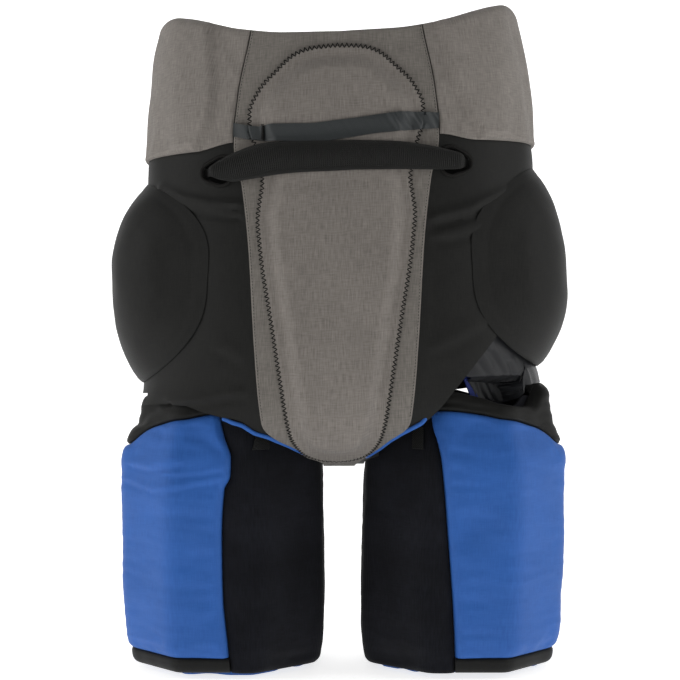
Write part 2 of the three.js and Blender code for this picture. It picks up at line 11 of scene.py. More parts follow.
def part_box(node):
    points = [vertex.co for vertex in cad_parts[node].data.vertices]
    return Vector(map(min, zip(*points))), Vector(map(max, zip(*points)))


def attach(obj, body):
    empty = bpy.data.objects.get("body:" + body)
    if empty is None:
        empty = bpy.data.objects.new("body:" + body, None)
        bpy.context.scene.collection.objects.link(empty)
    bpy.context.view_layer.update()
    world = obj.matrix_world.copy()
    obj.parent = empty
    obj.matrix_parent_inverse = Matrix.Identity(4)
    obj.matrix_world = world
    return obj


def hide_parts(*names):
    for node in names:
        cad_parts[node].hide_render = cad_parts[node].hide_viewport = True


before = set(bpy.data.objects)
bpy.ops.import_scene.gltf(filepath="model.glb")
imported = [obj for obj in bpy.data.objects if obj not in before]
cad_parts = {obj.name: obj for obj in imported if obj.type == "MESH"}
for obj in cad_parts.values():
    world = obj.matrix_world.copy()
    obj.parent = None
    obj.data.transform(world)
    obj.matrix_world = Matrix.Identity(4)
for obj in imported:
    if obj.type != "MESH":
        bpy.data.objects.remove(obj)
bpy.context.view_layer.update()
mm = 0.001
scene = bpy.context.scene
print("frame loaded")


def boxOf(node):
    low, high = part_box(node)
    return np.array(low) / mm, np.array(high) / mm


shellHigh = boxOf("brief_shell")[1]
sleeveLow = boxOf("leg_sleeve_left")[0]

# The body form that every piece follows, read back from the frame where a box gives it
form = {
    "hipHalfWidth": 172.0,
    "hipHalfDepth": shellHigh[1],
    "wingHeight": 137.0,
    "crotchDepth": 251.0,
    "roundness": 2.4,
    "waistLean": 0.042,  # the left side sits lower by this share of its distance from the middle
    "leanStart": 180.0,
    "leanFade": 80.0,
    "legHalfWidth": 87.5,
    "legHalfDepth": 92.0,
    "legHead": 66.0,
    "hemLevel": sleeveLow[2],
    "facetSharpness": 60,
    "outerFoam": 13.0,
    "gap": 0.4,
}

# level: 1 is the wing height, -1 the crotch. width, depth: shares of the hip half width and half depth
briefSections = [
    (-1.0, 1.06, 0.0), (-0.985, 1.06, 0.24), (-0.96, 1.06, 0.43), (-0.905, 1.06, 0.68), (-0.85, 1.05, 0.84),
    (-0.785, 1.03, 0.92), (-0.7, 1.0, 0.965), (-0.56, 0.99, 0.995), (-0.37, 0.985, 1.0), (-0.17, 0.98, 0.975),
    (-0.054, 0.978, 0.955), (0.128, 0.973, 0.945), (0.18, 0.957, 0.935), (0.5, 0.93, 0.92),
    (1.24, 0.81, 0.86),
]
# across: share of the hip half width. rise: share of the wing height
topEdge = [
    (0, 0.812), (0.26, 0.822), (0.48, 0.865), (0.63, 0.927), (0.72, 0.968), (0.81, 1.0), (0.88, 0.99),
    (1.2, 0.9),
]
# level, and half width as a share of the half width between the seams
panelEdge = [
    (-1.02, 0.16), (-0.985, 0.22), (-0.965, 0.28), (-0.945, 0.36), (-0.91, 0.5), (-0.873, 0.66),
    (-0.85, 0.715),
    (-0.83, 0.735), (-0.57, 0.8), (-0.27, 0.85), (-0.052, 0.92), (0.06, 0.985), (0.175, 1.0), (0.47, 0.955),
    (0.86, 0.828), (1.24, 0.76),
]
# down: share from the leg's head to the hem. width, depth: shares of the leg's half width and depth
legSections = [
    (-0.12, 0.77, 0.82), (0.04, 0.81, 0.86), (0.135, 0.86, 0.91), (0.21, 0.95, 0.965), (0.27, 0.99, 0.995),
    (0.4, 1.0, 1.0), (0.7, 1.0, 1.01), (0.92, 0.98, 0.985), (1.06, 0.94, 0.94),
]
# turn: degrees from the outer side, negative to the front. width, depth: how far out the flat face lies
legFacets = [
    (0, 1.0, 0), (-39, 0.6, 0.41), (-90, 0, 1.0), (-135, 0.5, 0.49), (180, 1.0, 0), (135, 0.5, 0.49),
    (90, 0, 1.0), (39, 0.6, 0.41),
]
# across: share of the leg's full width from its inner side. drop: share of the leg head
sleeveTop = [(0, 0.45), (0.25, 0.08), (0.38, 0.02), (0.56, 0.1), (0.7, 0.2), (0.85, 0.3), (1, 0.45)]
blueTop = [
    (0, 0.28), (0.35, 0.28), (0.49, 0.31), (0.61, 0.36), (0.73, 0.44), (0.82, 0.53), (0.9, 0.65), (1, 0.83),
]
# Top edges of the two yokes, which reach up beside the hip pads
yokeTop = {
    "left": [(0, 0.45), (0.25, 0.08), (0.38, 0.02), (0.56, 0.04), (0.7, 0.05), (0.85, 0.07), (1, 0.1)],
    "right": [(0, 0.45), (0.25, 0.08), (0.38, 0.02), (0.56, 0.1), (0.7, 0.2), (0.8, 0.22), (0.87, 0.02),
              (0.93, -0.22), (1, -0.3)],
}
# middle and join: at the head and at the hem, shares of the hip half width and of the leg's.
# wander: by height, how far the join strays. slim: how much thinner the yoke's top is
legs = {
    "left": {"side": -1, "middle": (0.602, 0.576), "join": (0.057, 0.103), "tab": 0.39, "slim": 3.0,
             "wander": [(-420, -1), (-398, -2), (-354, -4.5), (-310, -3.8), (-266, 0), (-256, 5), (-241, 6),
                        (-225, 1), (-205, -3)]},
    "right": {"side": 1, "middle": (0.645, 0.599), "join": (0.286, 0.091), "tab": 0.457, "slim": 0.0,
              "wander": [(-420, -1), (-395, -1), (-280, 2), (-221, 4), (-190, 4)]},
}


def smoothTable(rows, at, column=1):
    # A curve through the rows that never swings past them
    xs = np.array([row[0] for row in rows], float)
    ys = np.array([row[column] for row in rows], float)
    gaps = np.diff(xs)
    slopes = np.diff(ys) / gaps
    tangents = np.zeros(len(xs))
    sameWay = slopes[:-1] * slopes[1:] > 0
    before, after = slopes[:-1][sameWay], slopes[1:][sameWay]
    tangents[1:-1][sameWay] = 2 * before * after / (before + after)
    tangents[0] = slopes[0]
    tangents[-1] = slopes[-1]
    at = np.clip(at, xs[0], xs[-1])
    i = np.clip(np.searchsorted(xs, at, side="right") - 1, 0, len(xs) - 2)
    t = (at - xs[i]) / gaps[i]
    start = ys[i] * (1 + 2 * t) * (1 - t) ** 2 + tangents[i] * gaps[i] * t * (1 - t) ** 2
    return start + ys[i + 1] * t * t * (3 - 2 * t) + tangents[i + 1] * gaps[i] * t * t * (t - 1)


def ease(t):
    t = np.clip(t, 0, 1)
    return t * t * (3 - 2 * t)


def bent(value, exponent):
    return np.sign(value) * np.abs(value) ** (2 / exponent)


def lean(x, z):
    return form["waistLean"] * x * ease((z + form["leanStart"] + form["leanFade"]) / form["leanFade"])


def levelOf(z):
    return np.where(z > 0, z / form["wingHeight"], z / form["crotchDepth"])


def hipWidthAt(z):
    return form["hipHalfWidth"] * smoothTable(briefSections, levelOf(z))


def briefPoint(angle, z):
    depth = form["hipHalfDepth"] * smoothTable(briefSections, levelOf(z), 2)
    x = hipWidthAt(z) * bent(np.cos(angle), form["roundness"])
    y = depth * bent(np.sin(angle), form["roundness"])
    return np.stack([x, y, z + lean(x, z)], -1)


def frontAngle(x, z):
    share = np.clip(x / hipWidthAt(z), -0.9999, 0.9999)
    return -np.arccos(bent(share, 4 / form["roundness"]))


def legRadius(angle, width, depth):
    total = 0
    for turn, wide, deep in legFacets:
        facing = np.maximum(np.cos(angle - math.radians(turn)), 0)
        total = total + (facing / (width * wide + depth * deep)) ** form["facetSharpness"]
    return total ** (-1 / form["facetSharpness"])


headLevel = form["legHead"] - form["crotchDepth"]
legHeight = headLevel - form["hemLevel"]
legInset = form["outerFoam"] + form["gap"]


def alongLeg(leg, z, key):
    head, hem = leg[key]
    return head + (headLevel - z) / legHeight * (hem - head)


def legMiddle(leg, z):
    return leg["side"] * alongLeg(leg, z, "middle") * form["hipHalfWidth"]


def legRadiusAt(angle, z):
    down = (headLevel - z) / legHeight
    width = form["legHalfWidth"] * smoothTable(legSections, down) - legInset
    depth = form["legHalfDepth"] * smoothTable(legSections, down, 2) - legInset
    return legRadius(angle, width, depth)


def legPoint(leg):
    def point(angle, z):
        radius = legRadiusAt(angle, z)
        x = legMiddle(leg, z) + leg["side"] * radius * np.cos(angle)
        return np.stack([x, radius * np.sin(angle), z + 0 * x], -1)
    return point


def outwardNormal(point, angle, z, flip=1):
    # Across the surface and up it, by small steps
    around = point(angle + 0.012, z) - point(angle - 0.012, z)
    upward = point(angle, z + 0.6) - point(angle, z - 0.6)
    normal = np.cross(around, upward) * flip
    length = np.linalg.norm(normal, axis=-1, keepdims=True)
    return normal / np.maximum(length, 1e-9)


def raised(point, angle, z, out, flip=1):
    out = np.asarray(out, float)
    return point(angle, z) + outwardNormal(point, angle, z, flip) * out[..., None]


# Arc length round the hips, so that columns are evenly spaced
ringAngles = np.linspace(-2 * math.pi, 2 * math.pi, 8001)
ringPoints = briefPoint(ringAngles, np.full(8001, -40.0))
ringArc = np.concatenate([[0], np.cumsum(np.linalg.norm(np.diff(ringPoints, axis=0), axis=1))])


def arcOf(angle):
    return np.interp(angle, ringAngles, ringArc)


def angleAt(arc):
    return np.interp(arc, ringArc, ringAngles)


def edgeSpaced(count, crowd=0.5):
    # From 0 to 1, closer together at both ends
    t = np.linspace(0, 1, count)
    return (1 - crowd) * t + crowd * (1 - np.cos(math.pi * t)) / 2


def rounded(fromEdge, radius):
    # Height of a quarter round at a distance from its edge, as a share of 1
    t = np.clip(1 - fromEdge / radius, 0, 1)
    return np.sqrt(np.clip(1 - t * t, 0, 1))


def distanceTo(line, x, z):
    best = np.full(np.shape(x), 1e9)
    for (ax, az), (bx, bz) in zip(line, line[1:]):
        dx, dz = bx - ax, bz - az
        t = np.clip(((x - ax) * dx + (z - az) * dz) / (dx * dx + dz * dz), 0, 1)
        best = np.minimum(best, np.hypot(x - ax - t * dx, z - az - t * dz))
    return best


def sideOf(line, x, z):
    # Positive above a line that runs from left to right
    xs = [p[0] for p in line]
    zs = [p[1] for p in line]
    return z - np.interp(x, xs, zs)


def foldHeight(folds, x, z):
    # Each fold is a soft ridge with a groove along its lower side
    height = np.zeros(np.shape(x))
    for fold in folds:
        away = distanceTo(fold["line"], x, z)
        width = fold["width"]
        above = np.where(sideOf(fold["line"], x, z) > 0, 1.0, -1.0)
        ridge = np.exp(-((away - 0.5 * width * above) / width) ** 2)
        groove = np.exp(-((away + 0.7 * width * above) / (0.7 * width)) ** 2)
        height += fold["height"] * (ridge - 0.9 * groove) * np.exp(-(away / (2.2 * width)) ** 2)
    return height


def softNoise(points, size, seed):
    # Smooth noise from -1 to 1 at each point, in features of about this size
    flat = points.reshape(-1, 3) / size
    shift = Vector((seed * 7.3, seed * 3.1, seed * 5.7))
    values = np.array([noise.noise(Vector(p) + shift) for p in flat])
    return values.reshape(points.shape[:-1])


def newObject(name, vertices, faces=(), uvs=None, edges=()):
    mesh = bpy.data.meshes.new(name)
    if isinstance(faces, np.ndarray):
        faces = faces.tolist()
    mesh.from_pydata(np.asarray(vertices) * mm, edges, faces)
    if uvs is not None:
        layer = mesh.uv_layers.new(name="UVMap")
        layer.data.foreach_set("uv", (np.asarray(uvs) * mm).reshape(-1))
    mesh.update()
    piece = bpy.data.objects.new(name, mesh)
    scene.collection.objects.link(piece)
    return piece


sharpAngle = math.radians(42)


def tidyMesh(piece, merge=0.02):
    # Merges the points that meet, turns the faces outwards and smooths all but sharp edges
    work = bmesh.new()
    work.from_mesh(piece.data)
    if merge:
        bmesh.ops.remove_doubles(work, verts=work.verts, dist=merge * mm)
        bmesh.ops.dissolve_degenerate(work, edges=work.edges, dist=1e-6)
        loose = [v for v in work.verts if not v.link_faces]
        bmesh.ops.delete(work, geom=loose, context="VERTS")
    if work.calc_volume(signed=True) < 0:
        bmesh.ops.reverse_faces(work, faces=work.faces)
    work.to_mesh(piece.data)
    work.free()
    piece.data.shade_smooth()
    piece.data.set_sharp_from_angle(angle=sharpAngle)
    piece.data.update()


def turnOutwards(piece):
    work = bmesh.new()
    work.from_mesh(piece.data)
    bmesh.ops.recalc_face_normals(work, faces=work.faces)
    work.to_mesh(piece.data)
    work.free()


def gridQuads(table, last):
    # The corners of each quad in a table of point numbers, with its row and its column
    i, j = (part.ravel() for part in np.meshgrid(np.arange(len(table) - 1), np.arange(last), indexing="ij"))
    k = (j + 1) % table.shape[1]
    return np.stack([table[i, j], table[i + 1, j], table[i + 1, k], table[i, k]], -1), i, j


def layered(name, outer, inner, surface, wrap=False, period=0.0, merge=0.02, disc=False):
    # A closed piece from an outer and an inner grid of points, rows by columns, walled in along open edges.
    # surface: how far round the piece and how high each point lies, for its UV map
    rows, columns = outer.shape[:2]
    count = rows * columns
    points = np.concatenate([outer.reshape(-1, 3), inner.reshape(-1, 3)])
    number = np.arange(count).reshape(rows, columns)
    flat = np.stack([np.asarray(part, float) + np.zeros((rows, columns)) for part in surface], -1)
    last = columns - 1
    if wrap:
        last = columns
        flat = np.concatenate([flat, flat[:, :1] + np.array([period, 0])], 1)
    front, i, j = gridQuads(number, last)
    uvFront = np.stack([flat[i, j], flat[i + 1, j], flat[i + 1, j + 1], flat[i, j + 1]], 1)
    faces = [front, front[:, [0, 3, 2, 1]] + count]
    uvs = [uvFront, uvFront[:, [0, 3, 2, 1]]]

    def wall(start, end, startFlat, endFlat, turned):
        quad = np.stack([start, end, end + count, start + count], -1)
        uv = np.stack([startFlat, endFlat, endFlat, startFlat], 1)
        faces.append(quad[:, ::-1] if turned else quad)
        uvs.append(uv[:, ::-1] if turned else uv)

    c = np.arange(last)
    for row, turned in ((0, True), (rows - 1, False))[: 1 if disc else 2]:
        wall(number[row, c], number[row, (c + 1) % columns], flat[row, c], flat[row, c + 1], not turned)
    if not wrap:
        r = np.arange(rows - 1)
        for column, turned in ((0, False), (columns - 1, True)):
            wall(number[r, column], number[r + 1, column], flat[r, column], flat[r + 1, column], not turned)
    piece = newObject(name, points, np.concatenate(faces), np.concatenate(uvs).reshape(-1, 2))
    tidyMesh(piece, merge)
    return piece


def sweep(name, path, normals, profile, closed=False, widths=1.0):
    # A profile of (across, out) points carried along a path. Across lies in the surface, out along its normal
    path = np.asarray(path, float)
    count = len(path)
    ahead = np.roll(path, -1, 0) - np.roll(path, 1, 0)
    if not closed:
        ahead[0] = path[1] - path[0]
        ahead[-1] = path[-1] - path[-2]
    ahead /= np.linalg.norm(ahead, axis=1, keepdims=True)
    normals = normals - ahead * np.sum(normals * ahead, 1, keepdims=True)
    normals /= np.linalg.norm(normals, axis=1, keepdims=True)
    across = np.cross(normals, ahead) * np.broadcast_to(widths, count)[:, None]
    profile = np.asarray(profile, float)
    sides = len(profile)
    rings = path[:, None] + across[:, None] * profile[None, :, :1] + normals[:, None] * profile[None, :, 1:2]
    along = np.concatenate([[0], np.cumsum(np.linalg.norm(np.diff(path, axis=0), axis=1))])
    along = np.append(along, along[-1] + np.linalg.norm(path[0] - path[-1]))
    girth = np.linalg.norm(np.diff(np.vstack([profile, profile[:1]]), axis=0), axis=1)
    girth = np.concatenate([[0], np.cumsum(girth)])
    faces, uvs = [], []
    for i in range(count if closed else count - 1):
        n = (i + 1) % count
        for k in range(sides):
            m = (k + 1) % sides
            faces.append([i * sides + k, n * sides + k, n * sides + m, i * sides + m])
            for at, turn in ((i, k), (i + 1, k), (i + 1, k + 1), (i, k + 1)):
                uvs.append((along[at], girth[turn]))
    if not closed:
        for ring, order in ((0, 1), (count - 1, -1)):
            faces.append([ring * sides + k for k in range(sides)][::order])
            uvs += [(along[ring], girth[k]) for k in range(sides)]
    piece = newObject(name, rings.reshape(-1, 3), faces, uvs)
    turnOutwards(piece)
    tidyMesh(piece, 0.005)
    return piece


def cutBy(piece, cutters):
    # Each cut must leave less than there was. One that doesn't is made again with the other solver
    for cutter in cutters:
        for solver in ("MANIFOLD", "EXACT"):
            before = piece.data.copy()
            full = volumeOf(before)
            cut = piece.modifiers.new("cut", "BOOLEAN")
            cut.operation = "DIFFERENCE"
            cut.solver = solver
            cut.object = cutter
            applyModifiers(piece)
            left = volumeOf(piece.data)
            if 0.2 * full < left < full * 0.99999:
                break
            print("cut not made", piece.name, cutter.name, solver, round(left / full, 3))
            piece.data = before


def volumeOf(mesh):
    work = bmesh.new()
    work.from_mesh(mesh)
    volume = work.calc_volume()
    work.free()
    return volume


def applyModifiers(piece):
    graph = bpy.context.evaluated_depsgraph_get()
    made = bpy.data.meshes.new_from_object(piece.evaluated_get(graph), depsgraph=graph)
    piece.modifiers.clear()
    old = piece.data
    piece.data = made
    made.name = piece.name
    bpy.data.meshes.remove(old)


def removeObject(piece):
    bpy.data.objects.remove(piece, do_unlink=True)


def prism(name, points, yFrom, yTo):
    count = len(points)
    vertices = [(x, yFrom, z) for x, z in points] + [(x, yTo, z) for x, z in points]
    faces = [list(range(count)), list(range(2 * count - 1, count - 1, -1))]
    faces += [[k, k + count, (k + 1) % count + count, (k + 1) % count] for k in range(count)]
    piece = newObject(name, vertices, faces)
    turnOutwards(piece)
    return piece


# Node trees

def addNode(tree, kind, inputs=None, **settings):
    # A node with its settings. Each input, by name or number, is linked to a socket or given a value
    made = tree.nodes.new(kind)
    for name, value in settings.items():
        setattr(made, name, value)
    for key, value in (inputs or {}).items():
        if isinstance(value, bpy.types.NodeSocket):
            tree.links.new(value, made.inputs[key])
        else:
            made.inputs[key].default_value = value
    return made


def mathOf(tree, operation, *values):
    return addNode(tree, "ShaderNodeMath", dict(enumerate(values)), operation=operation).outputs[0]


def newGroup(name, kind, inputs, outputs):
    # A node group with the sockets of its input node and of its output node
    tree = bpy.data.node_groups.new(name, kind + "NodeTree")
    for label, socketKind, *value in inputs:
        socket = tree.interface.new_socket(label, in_out="INPUT", socket_type="NodeSocket" + socketKind)
        if value:
            socket.default_value = value[0]
    for label, socketKind in outputs:
        tree.interface.new_socket(label, in_out="OUTPUT", socket_type="NodeSocket" + socketKind)
    return tree, tree.nodes.new("NodeGroupInput").outputs, tree.nodes.new("NodeGroupOutput").inputs


def knitGroup():
    # Fine ribs of a stretch knit that run up the piece, with slubs and short pulls across them
    tree, given, put = newGroup(
        "stretchKnit", "Shader", [("Vector", "Vector"), ("Rib Pitch", "Float", 0.0012),
                                  ("Slub", "Float", 0.5)],
        [("Height", "Float"), ("Streak", "Float"), ("Patch", "Float")])
    split = addNode(tree, "ShaderNodeSeparateXYZ", {0: given["Vector"]})
    turns = mathOf(tree, "DIVIDE", split.outputs["X"], given["Rib Pitch"])
    wave = mathOf(tree, "SINE", mathOf(tree, "MULTIPLY", turns, 2 * math.pi))

    def streaks(scaleX, scaleY, detail):
        stretch = addNode(tree, "ShaderNodeMapping",
                          {"Vector": given["Vector"], "Scale": (scaleX, scaleY, 1)})
        texture = addNode(tree, "ShaderNodeTexNoise",
                          {"Vector": stretch.outputs[0], "Scale": 1, "Detail": detail})
        return texture.outputs["Fac"]

    along = streaks(1500, 90, 3)
    slubs = mathOf(tree, "MULTIPLY", along, given["Slub"])
    mix = addNode(tree, "ShaderNodeMix", {"Factor": 0.35, "A": along, "B": streaks(120, 900, 2)})
    tree.links.new(mathOf(tree, "MULTIPLY_ADD", wave, 0.5, slubs), put["Height"])
    tree.links.new(mix.outputs["Result"], put["Streak"])
    tree.links.new(streaks(28, 22, 4), put["Patch"])
    return tree


def weaveGroup():
    # A plain weave of crossing threads, with fuzz
    tree, given, put = newGroup("plainWeave", "Shader", [("Vector", "Vector"), ("Thread", "Float", 0.0009)],
                                [("Height", "Float"), ("Fleck", "Float")])
    split = addNode(tree, "ShaderNodeSeparateXYZ", {0: given["Vector"]})
    waves = []
    for axis in ("X", "Y"):
        turns = mathOf(tree, "DIVIDE", split.outputs[axis], given["Thread"])
        waves.append(mathOf(tree, "SINE", mathOf(tree, "MULTIPLY", turns, math.pi)))
    texture = addNode(tree, "ShaderNodeTexNoise", {"Vector": given["Vector"], "Scale": 900, "Detail": 3})
    fleck = texture.outputs["Fac"]
    tree.links.new(mathOf(tree, "ADD", mathOf(tree, "MULTIPLY", *waves), fleck), put["Height"])
    tree.links.new(fleck, put["Fleck"])
    return tree


stretchKnit = knitGroup()
plainWeave = weaveGroup()


def linear(red, green, blue):
    values = []
    for value in (red, green, blue):
        value /= 255
        values.append(value / 12.92 if value <= 0.04045 else ((value + 0.055) / 1.055) ** 2.4)
    return (*values, 1)


# Cloths. shades: darkest and lightest of the yarn, as screen colours; the darker copies of one cloth carry
# painted shade. A knit has a rib, a weave has a thread
grey = {"slot": "grey_stretch", "patch": 0.05, "rough": 0.86, "sheen": 0.08, "specular": 0.2, "rib": 0.0011,
        "bump": 0.35}
blue = {"slot": "blue_stretch", "patch": 0.05, "rough": 0.6, "sheen": 0.03, "specular": 0.25, "rib": 0.0008,
        "bump": 0.1}
finishes = {
    "greyStretch": {**grey, "shades": ((104, 99, 94), (138, 132, 126))},
    # the grey cloth made a little darker for the centre pad: painted shade
    "greyPadPaintedShade": {**grey, "shades": ((101, 96, 91), (134, 128, 122))},
    # the grey cloth made darker for the centre panel: painted shade on the strips beside the pad, where the
    # cloth turns inwards
    "greyPanelPaintedShade": {**grey, "shades": ((94, 90, 85), (125, 120, 114))},
    "blackStretch": {"slot": "black_stretch", "shades": ((19, 19, 18), (29, 29, 27)), "patch": 0.06,
                     "rough": 0.58, "sheen": 0.03, "specular": 0.14, "rib": 0.0010, "bump": 0.15},
    "blackKnit": {"slot": "black_knit", "shades": ((13, 14, 18), (24, 25, 31)), "patch": 0.3,
                  "rough": 0.9, "sheen": 0.03, "specular": 0.12, "rib": 0.0014, "bump": 0.4},
    "blueStretch": {**blue, "shades": ((36, 86, 161), (46, 98, 175))},
    # the blue cloth made darker for the lining's binding: painted shade, as the binding lies in shade
    "blueStretchPaintedShade": {**blue, "shades": ((24, 38, 100), (34, 50, 120))},
    "webbing": {"slot": "webbing", "shades": ((14, 14, 14), (36, 36, 34)), "rough": 0.55, "sheen": 0.02,
                "specular": 0.16, "thread": 0.0009, "bump": 0.6},
    "coatedTape": {"slot": "tape", "shades": ((33, 36, 37), (50, 54, 55)), "rough": 0.42, "sheen": 0.02,
                   "specular": 0.3, "thread": 0.0007, "bump": 0.25},
    "thread": {"slot": "black_thread", "shades": ((9, 9, 9), (38, 37, 35)), "rough": 0.7, "sheen": 0.0,
               "specular": 0.1, "thread": 0.0003, "bump": 0.3},
    "satinLining": {"slot": "satin_lining", "shades": ((20, 21, 23), (30, 31, 34)), "rough": 0.42,
                    "sheen": 0.02,
                    "specular": 0.25, "thread": 0.0004, "bump": 0.15},
}
knitSheenRoughness = 0.55
bumpDepth = 0.0003


def clothMaterial(name):
    finish = finishes[name]
    knitted = "rib" in finish
    material = bpy.data.materials.new(name)
    material.use_nodes = True
    tree = material.node_tree
    place = addNode(tree, "ShaderNodeTexCoord").outputs["Object" if name == "thread" else "UV"]
    if knitted:
        cloth = addNode(tree, "ShaderNodeGroup", {"Vector": place, "Rib Pitch": finish["rib"]},
                        node_tree=stretchKnit)
        spread = addNode(tree, "ShaderNodeMapRange",
                         {"Value": cloth.outputs["Streak"], "From Min": 0.32, "From Max": 0.68})
        factor = spread.outputs["Result"]
    else:
        cloth = addNode(tree, "ShaderNodeGroup", {"Vector": place, "Thread": finish["thread"]},
                        node_tree=plainWeave)
        factor = cloth.outputs["Fleck"]
    dark, light = (linear(*shade) for shade in finish["shades"])
    tone = addNode(tree, "ShaderNodeMix", {"Factor": factor, "A": dark, "B": light}, data_type="RGBA")
    colour = tone.outputs["Result"]
    shader = tree.nodes["Principled BSDF"]
    shader.inputs["Roughness"].default_value = finish["rough"]
    shader.inputs["Specular IOR Level"].default_value = finish["specular"]
    shader.inputs["Sheen Weight"].default_value = finish["sheen"]
    if knitted:
        shader.inputs["Sheen Roughness"].default_value = knitSheenRoughness
        value = addNode(tree, "ShaderNodeMapRange",
                        {"Value": cloth.outputs["Patch"], "From Min": 0.3, "From Max": 0.7,
                         "To Min": 1 - finish["patch"], "To Max": 1 + finish["patch"]})
        worn = addNode(tree, "ShaderNodeHueSaturation", {"Value": value.outputs["Result"], "Color": colour})
        colour = worn.outputs["Color"]
    bump = addNode(tree, "ShaderNodeBump", {"Strength": finish["bump"], "Distance": bumpDepth,
                                            "Height": cloth.outputs["Height"]})
    tree.links.new(colour, shader.inputs["Base Color"])
    tree.links.new(bump.outputs["Normal"], shader.inputs["Normal"])
    return material


materials = {name: clothMaterial(name) for name in finishes}
print("materials made")


def dressed(piece, finish, *nodes, soft=None):
    # Gives a finished piece its material, its body and the solids that it stands for
    piece.data.materials.clear()
    piece.data.materials.append(materials[finish])
    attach(piece, "root")
    if nodes:
        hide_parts(*nodes)
    return piece


def cutFlat(piece, held, *under):
    # Prints a cloth's flat size: its two sides' mean area, with the width and length that its UV map spans
    piece.data.calc_loop_triangles()
    area = float(sum(face.area for face in piece.data.polygons) / 2)
    spans = np.array([row.vector[:] for row in piece.data.uv_layers[0].uv])
    width, length = (float(span) for span in spans.max(0) - spans.min(0))
    length = max(length, 1.02 * area / width)
    print("cloth", piece.name, "flat", round(width, 3), "by", round(length, 3), "m, area", round(area, 4))


# Stitches and ribs along a line: Geometry Nodes, with a short thread or rib put down at even steps

def alongLineGroup():
    tree, given, put = newGroup("alongLine", "Geometry", [
        ("Geometry", "Geometry"), ("Pitch", "Float", 0.003), ("Length", "Float", 0.002),
        ("Width", "Float", 0.0006),
        ("Height", "Float", 0.0005), ("Turn", "Float", 0.0), ("Zigzag", "Float", 0.0),
        ("Jitter", "Float", 0.0),
        ("Seed", "Int", 1), ("Material", "Material")], [("Geometry", "Geometry")])

    def chained(kind, inputs=None, **settings):
        return addNode(tree, kind, inputs, **settings).outputs[0]

    curve = chained("GeometryNodeMeshToCurve", {"Mesh": given["Geometry"]})
    steps = chained("GeometryNodeResampleCurve", {"Curve": curve, "Length": given["Pitch"]}, mode="LENGTH")
    tangent = chained("GeometryNodeInputTangent")
    outward = addNode(tree, "GeometryNodeInputNamedAttribute", {"Name": "outward"}, data_type="FLOAT_VECTOR")
    ahead = chained("FunctionNodeAlignRotationToVector", {"Vector": tangent}, axis="X")
    faced = chained("FunctionNodeAlignRotationToVector",
                    {"Rotation": ahead, "Vector": outward.outputs["Attribute"]}, axis="Z", pivot_axis="X")
    parity = mathOf(tree, "MODULO", chained("GeometryNodeInputIndex"), 2)
    swing = mathOf(tree, "MULTIPLY_ADD", parity, -2, 1)
    tilt = mathOf(tree, "MULTIPLY_ADD", swing, given["Zigzag"], given["Turn"])
    random = addNode(tree, "FunctionNodeRandomValue", {"Seed": given["Seed"]}, data_type="FLOAT")
    least, most = [socket for socket in random.inputs if socket.type == "VALUE"][:2]
    least.default_value = -1
    most.default_value = 1
    result = [socket for socket in random.outputs if socket.type == "VALUE"][0]
    loose = mathOf(tree, "MULTIPLY_ADD", result, given["Jitter"], tilt)
    turned = chained("FunctionNodeEulerToRotation", {0: chained("ShaderNodeCombineXYZ", {"Z": loose})})
    both = chained("FunctionNodeRotateRotation", {0: faced, 1: turned}, rotation_space="LOCAL")
    bead = addNode(tree, "GeometryNodeMeshUVSphere", {"Segments": 6, "Rings": 4, "Radius": 0.5})
    upright = chained("GeometryNodeTransform", {"Geometry": bead.outputs["Mesh"],
                                                "Rotation": (0, math.pi / 2, 0)})
    wide = addNode(tree, "GeometryNodeInputNamedAttribute", {"Name": "wide"}, data_type="FLOAT")
    scaled = mathOf(tree, "MULTIPLY", wide.outputs["Attribute"], given["Width"])
    size = chained("ShaderNodeCombineXYZ", {"X": given["Length"], "Y": scaled, "Z": given["Height"]})
    beads = chained("GeometryNodeInstanceOnPoints",
                    {"Points": steps, "Instance": upright, "Rotation": both, "Scale": size})
    smooth = chained("GeometryNodeSetShadeSmooth", {0: chained("GeometryNodeRealizeInstances", {0: beads})})
    finish = chained("GeometryNodeSetMaterial", {"Geometry": smooth, "Material": given["Material"]})
    tree.links.new(finish, put[0])
    return tree


alongLine = alongLineGroup()


def stitched(name, lines, finish, settings, widths=1.0):
    # Loose edges that carry stitches. Each point keeps its outward direction and its share of the width
    points, normals, edges = [], [], []
    for path, outward, closed in lines:
        start = len(points)
        points += list(path)
        normals += list(outward)
        edges += [(start + i, start + i + 1) for i in range(len(path) - 1)]
        if closed:
            edges.append((start + len(path) - 1, start))
    piece = newObject(name, points, edges=edges)
    layer = piece.data.attributes.new("outward", "FLOAT_VECTOR", "POINT")
    layer.data.foreach_set("vector", np.array(normals, float).reshape(-1))
    layer = piece.data.attributes.new("wide", "FLOAT", "POINT")
    layer.data.foreach_set("value", np.broadcast_to(widths, len(points)).astype(float))
    modifier = piece.modifiers.new("stitches", "NODES")
    modifier.node_group = alongLine
    wanted = {"Material": materials[finish], "Seed": settings.get("seed", 1)}
    for label in ("Pitch", "Length", "Width", "Height"):
        wanted[label] = settings[label.lower()] * mm
    for label in ("Turn", "Zigzag", "Jitter"):
        wanted[label] = math.radians(settings.get(label.lower(), 0))
    for socket in alongLine.interface.items_tree:
        if socket.item_type == "SOCKET" and socket.in_out == "INPUT" and socket.name in wanted:
            modifier[socket.identifier] = wanted[socket.name]
    applyModifiers(piece)
    return dressed(piece, finish)


# Cloth: a coarse copy of a pad swells under pressure, and its relief is added to the fine one
clothLook = {"frames": 20, "pressure": 4.0, "cap": 3.0, "slack": -0.05, "share": 0.45, "step": 4,
             "quality": 6, "mass": 0.3, "stiffness": 12, "bending": 0.6}


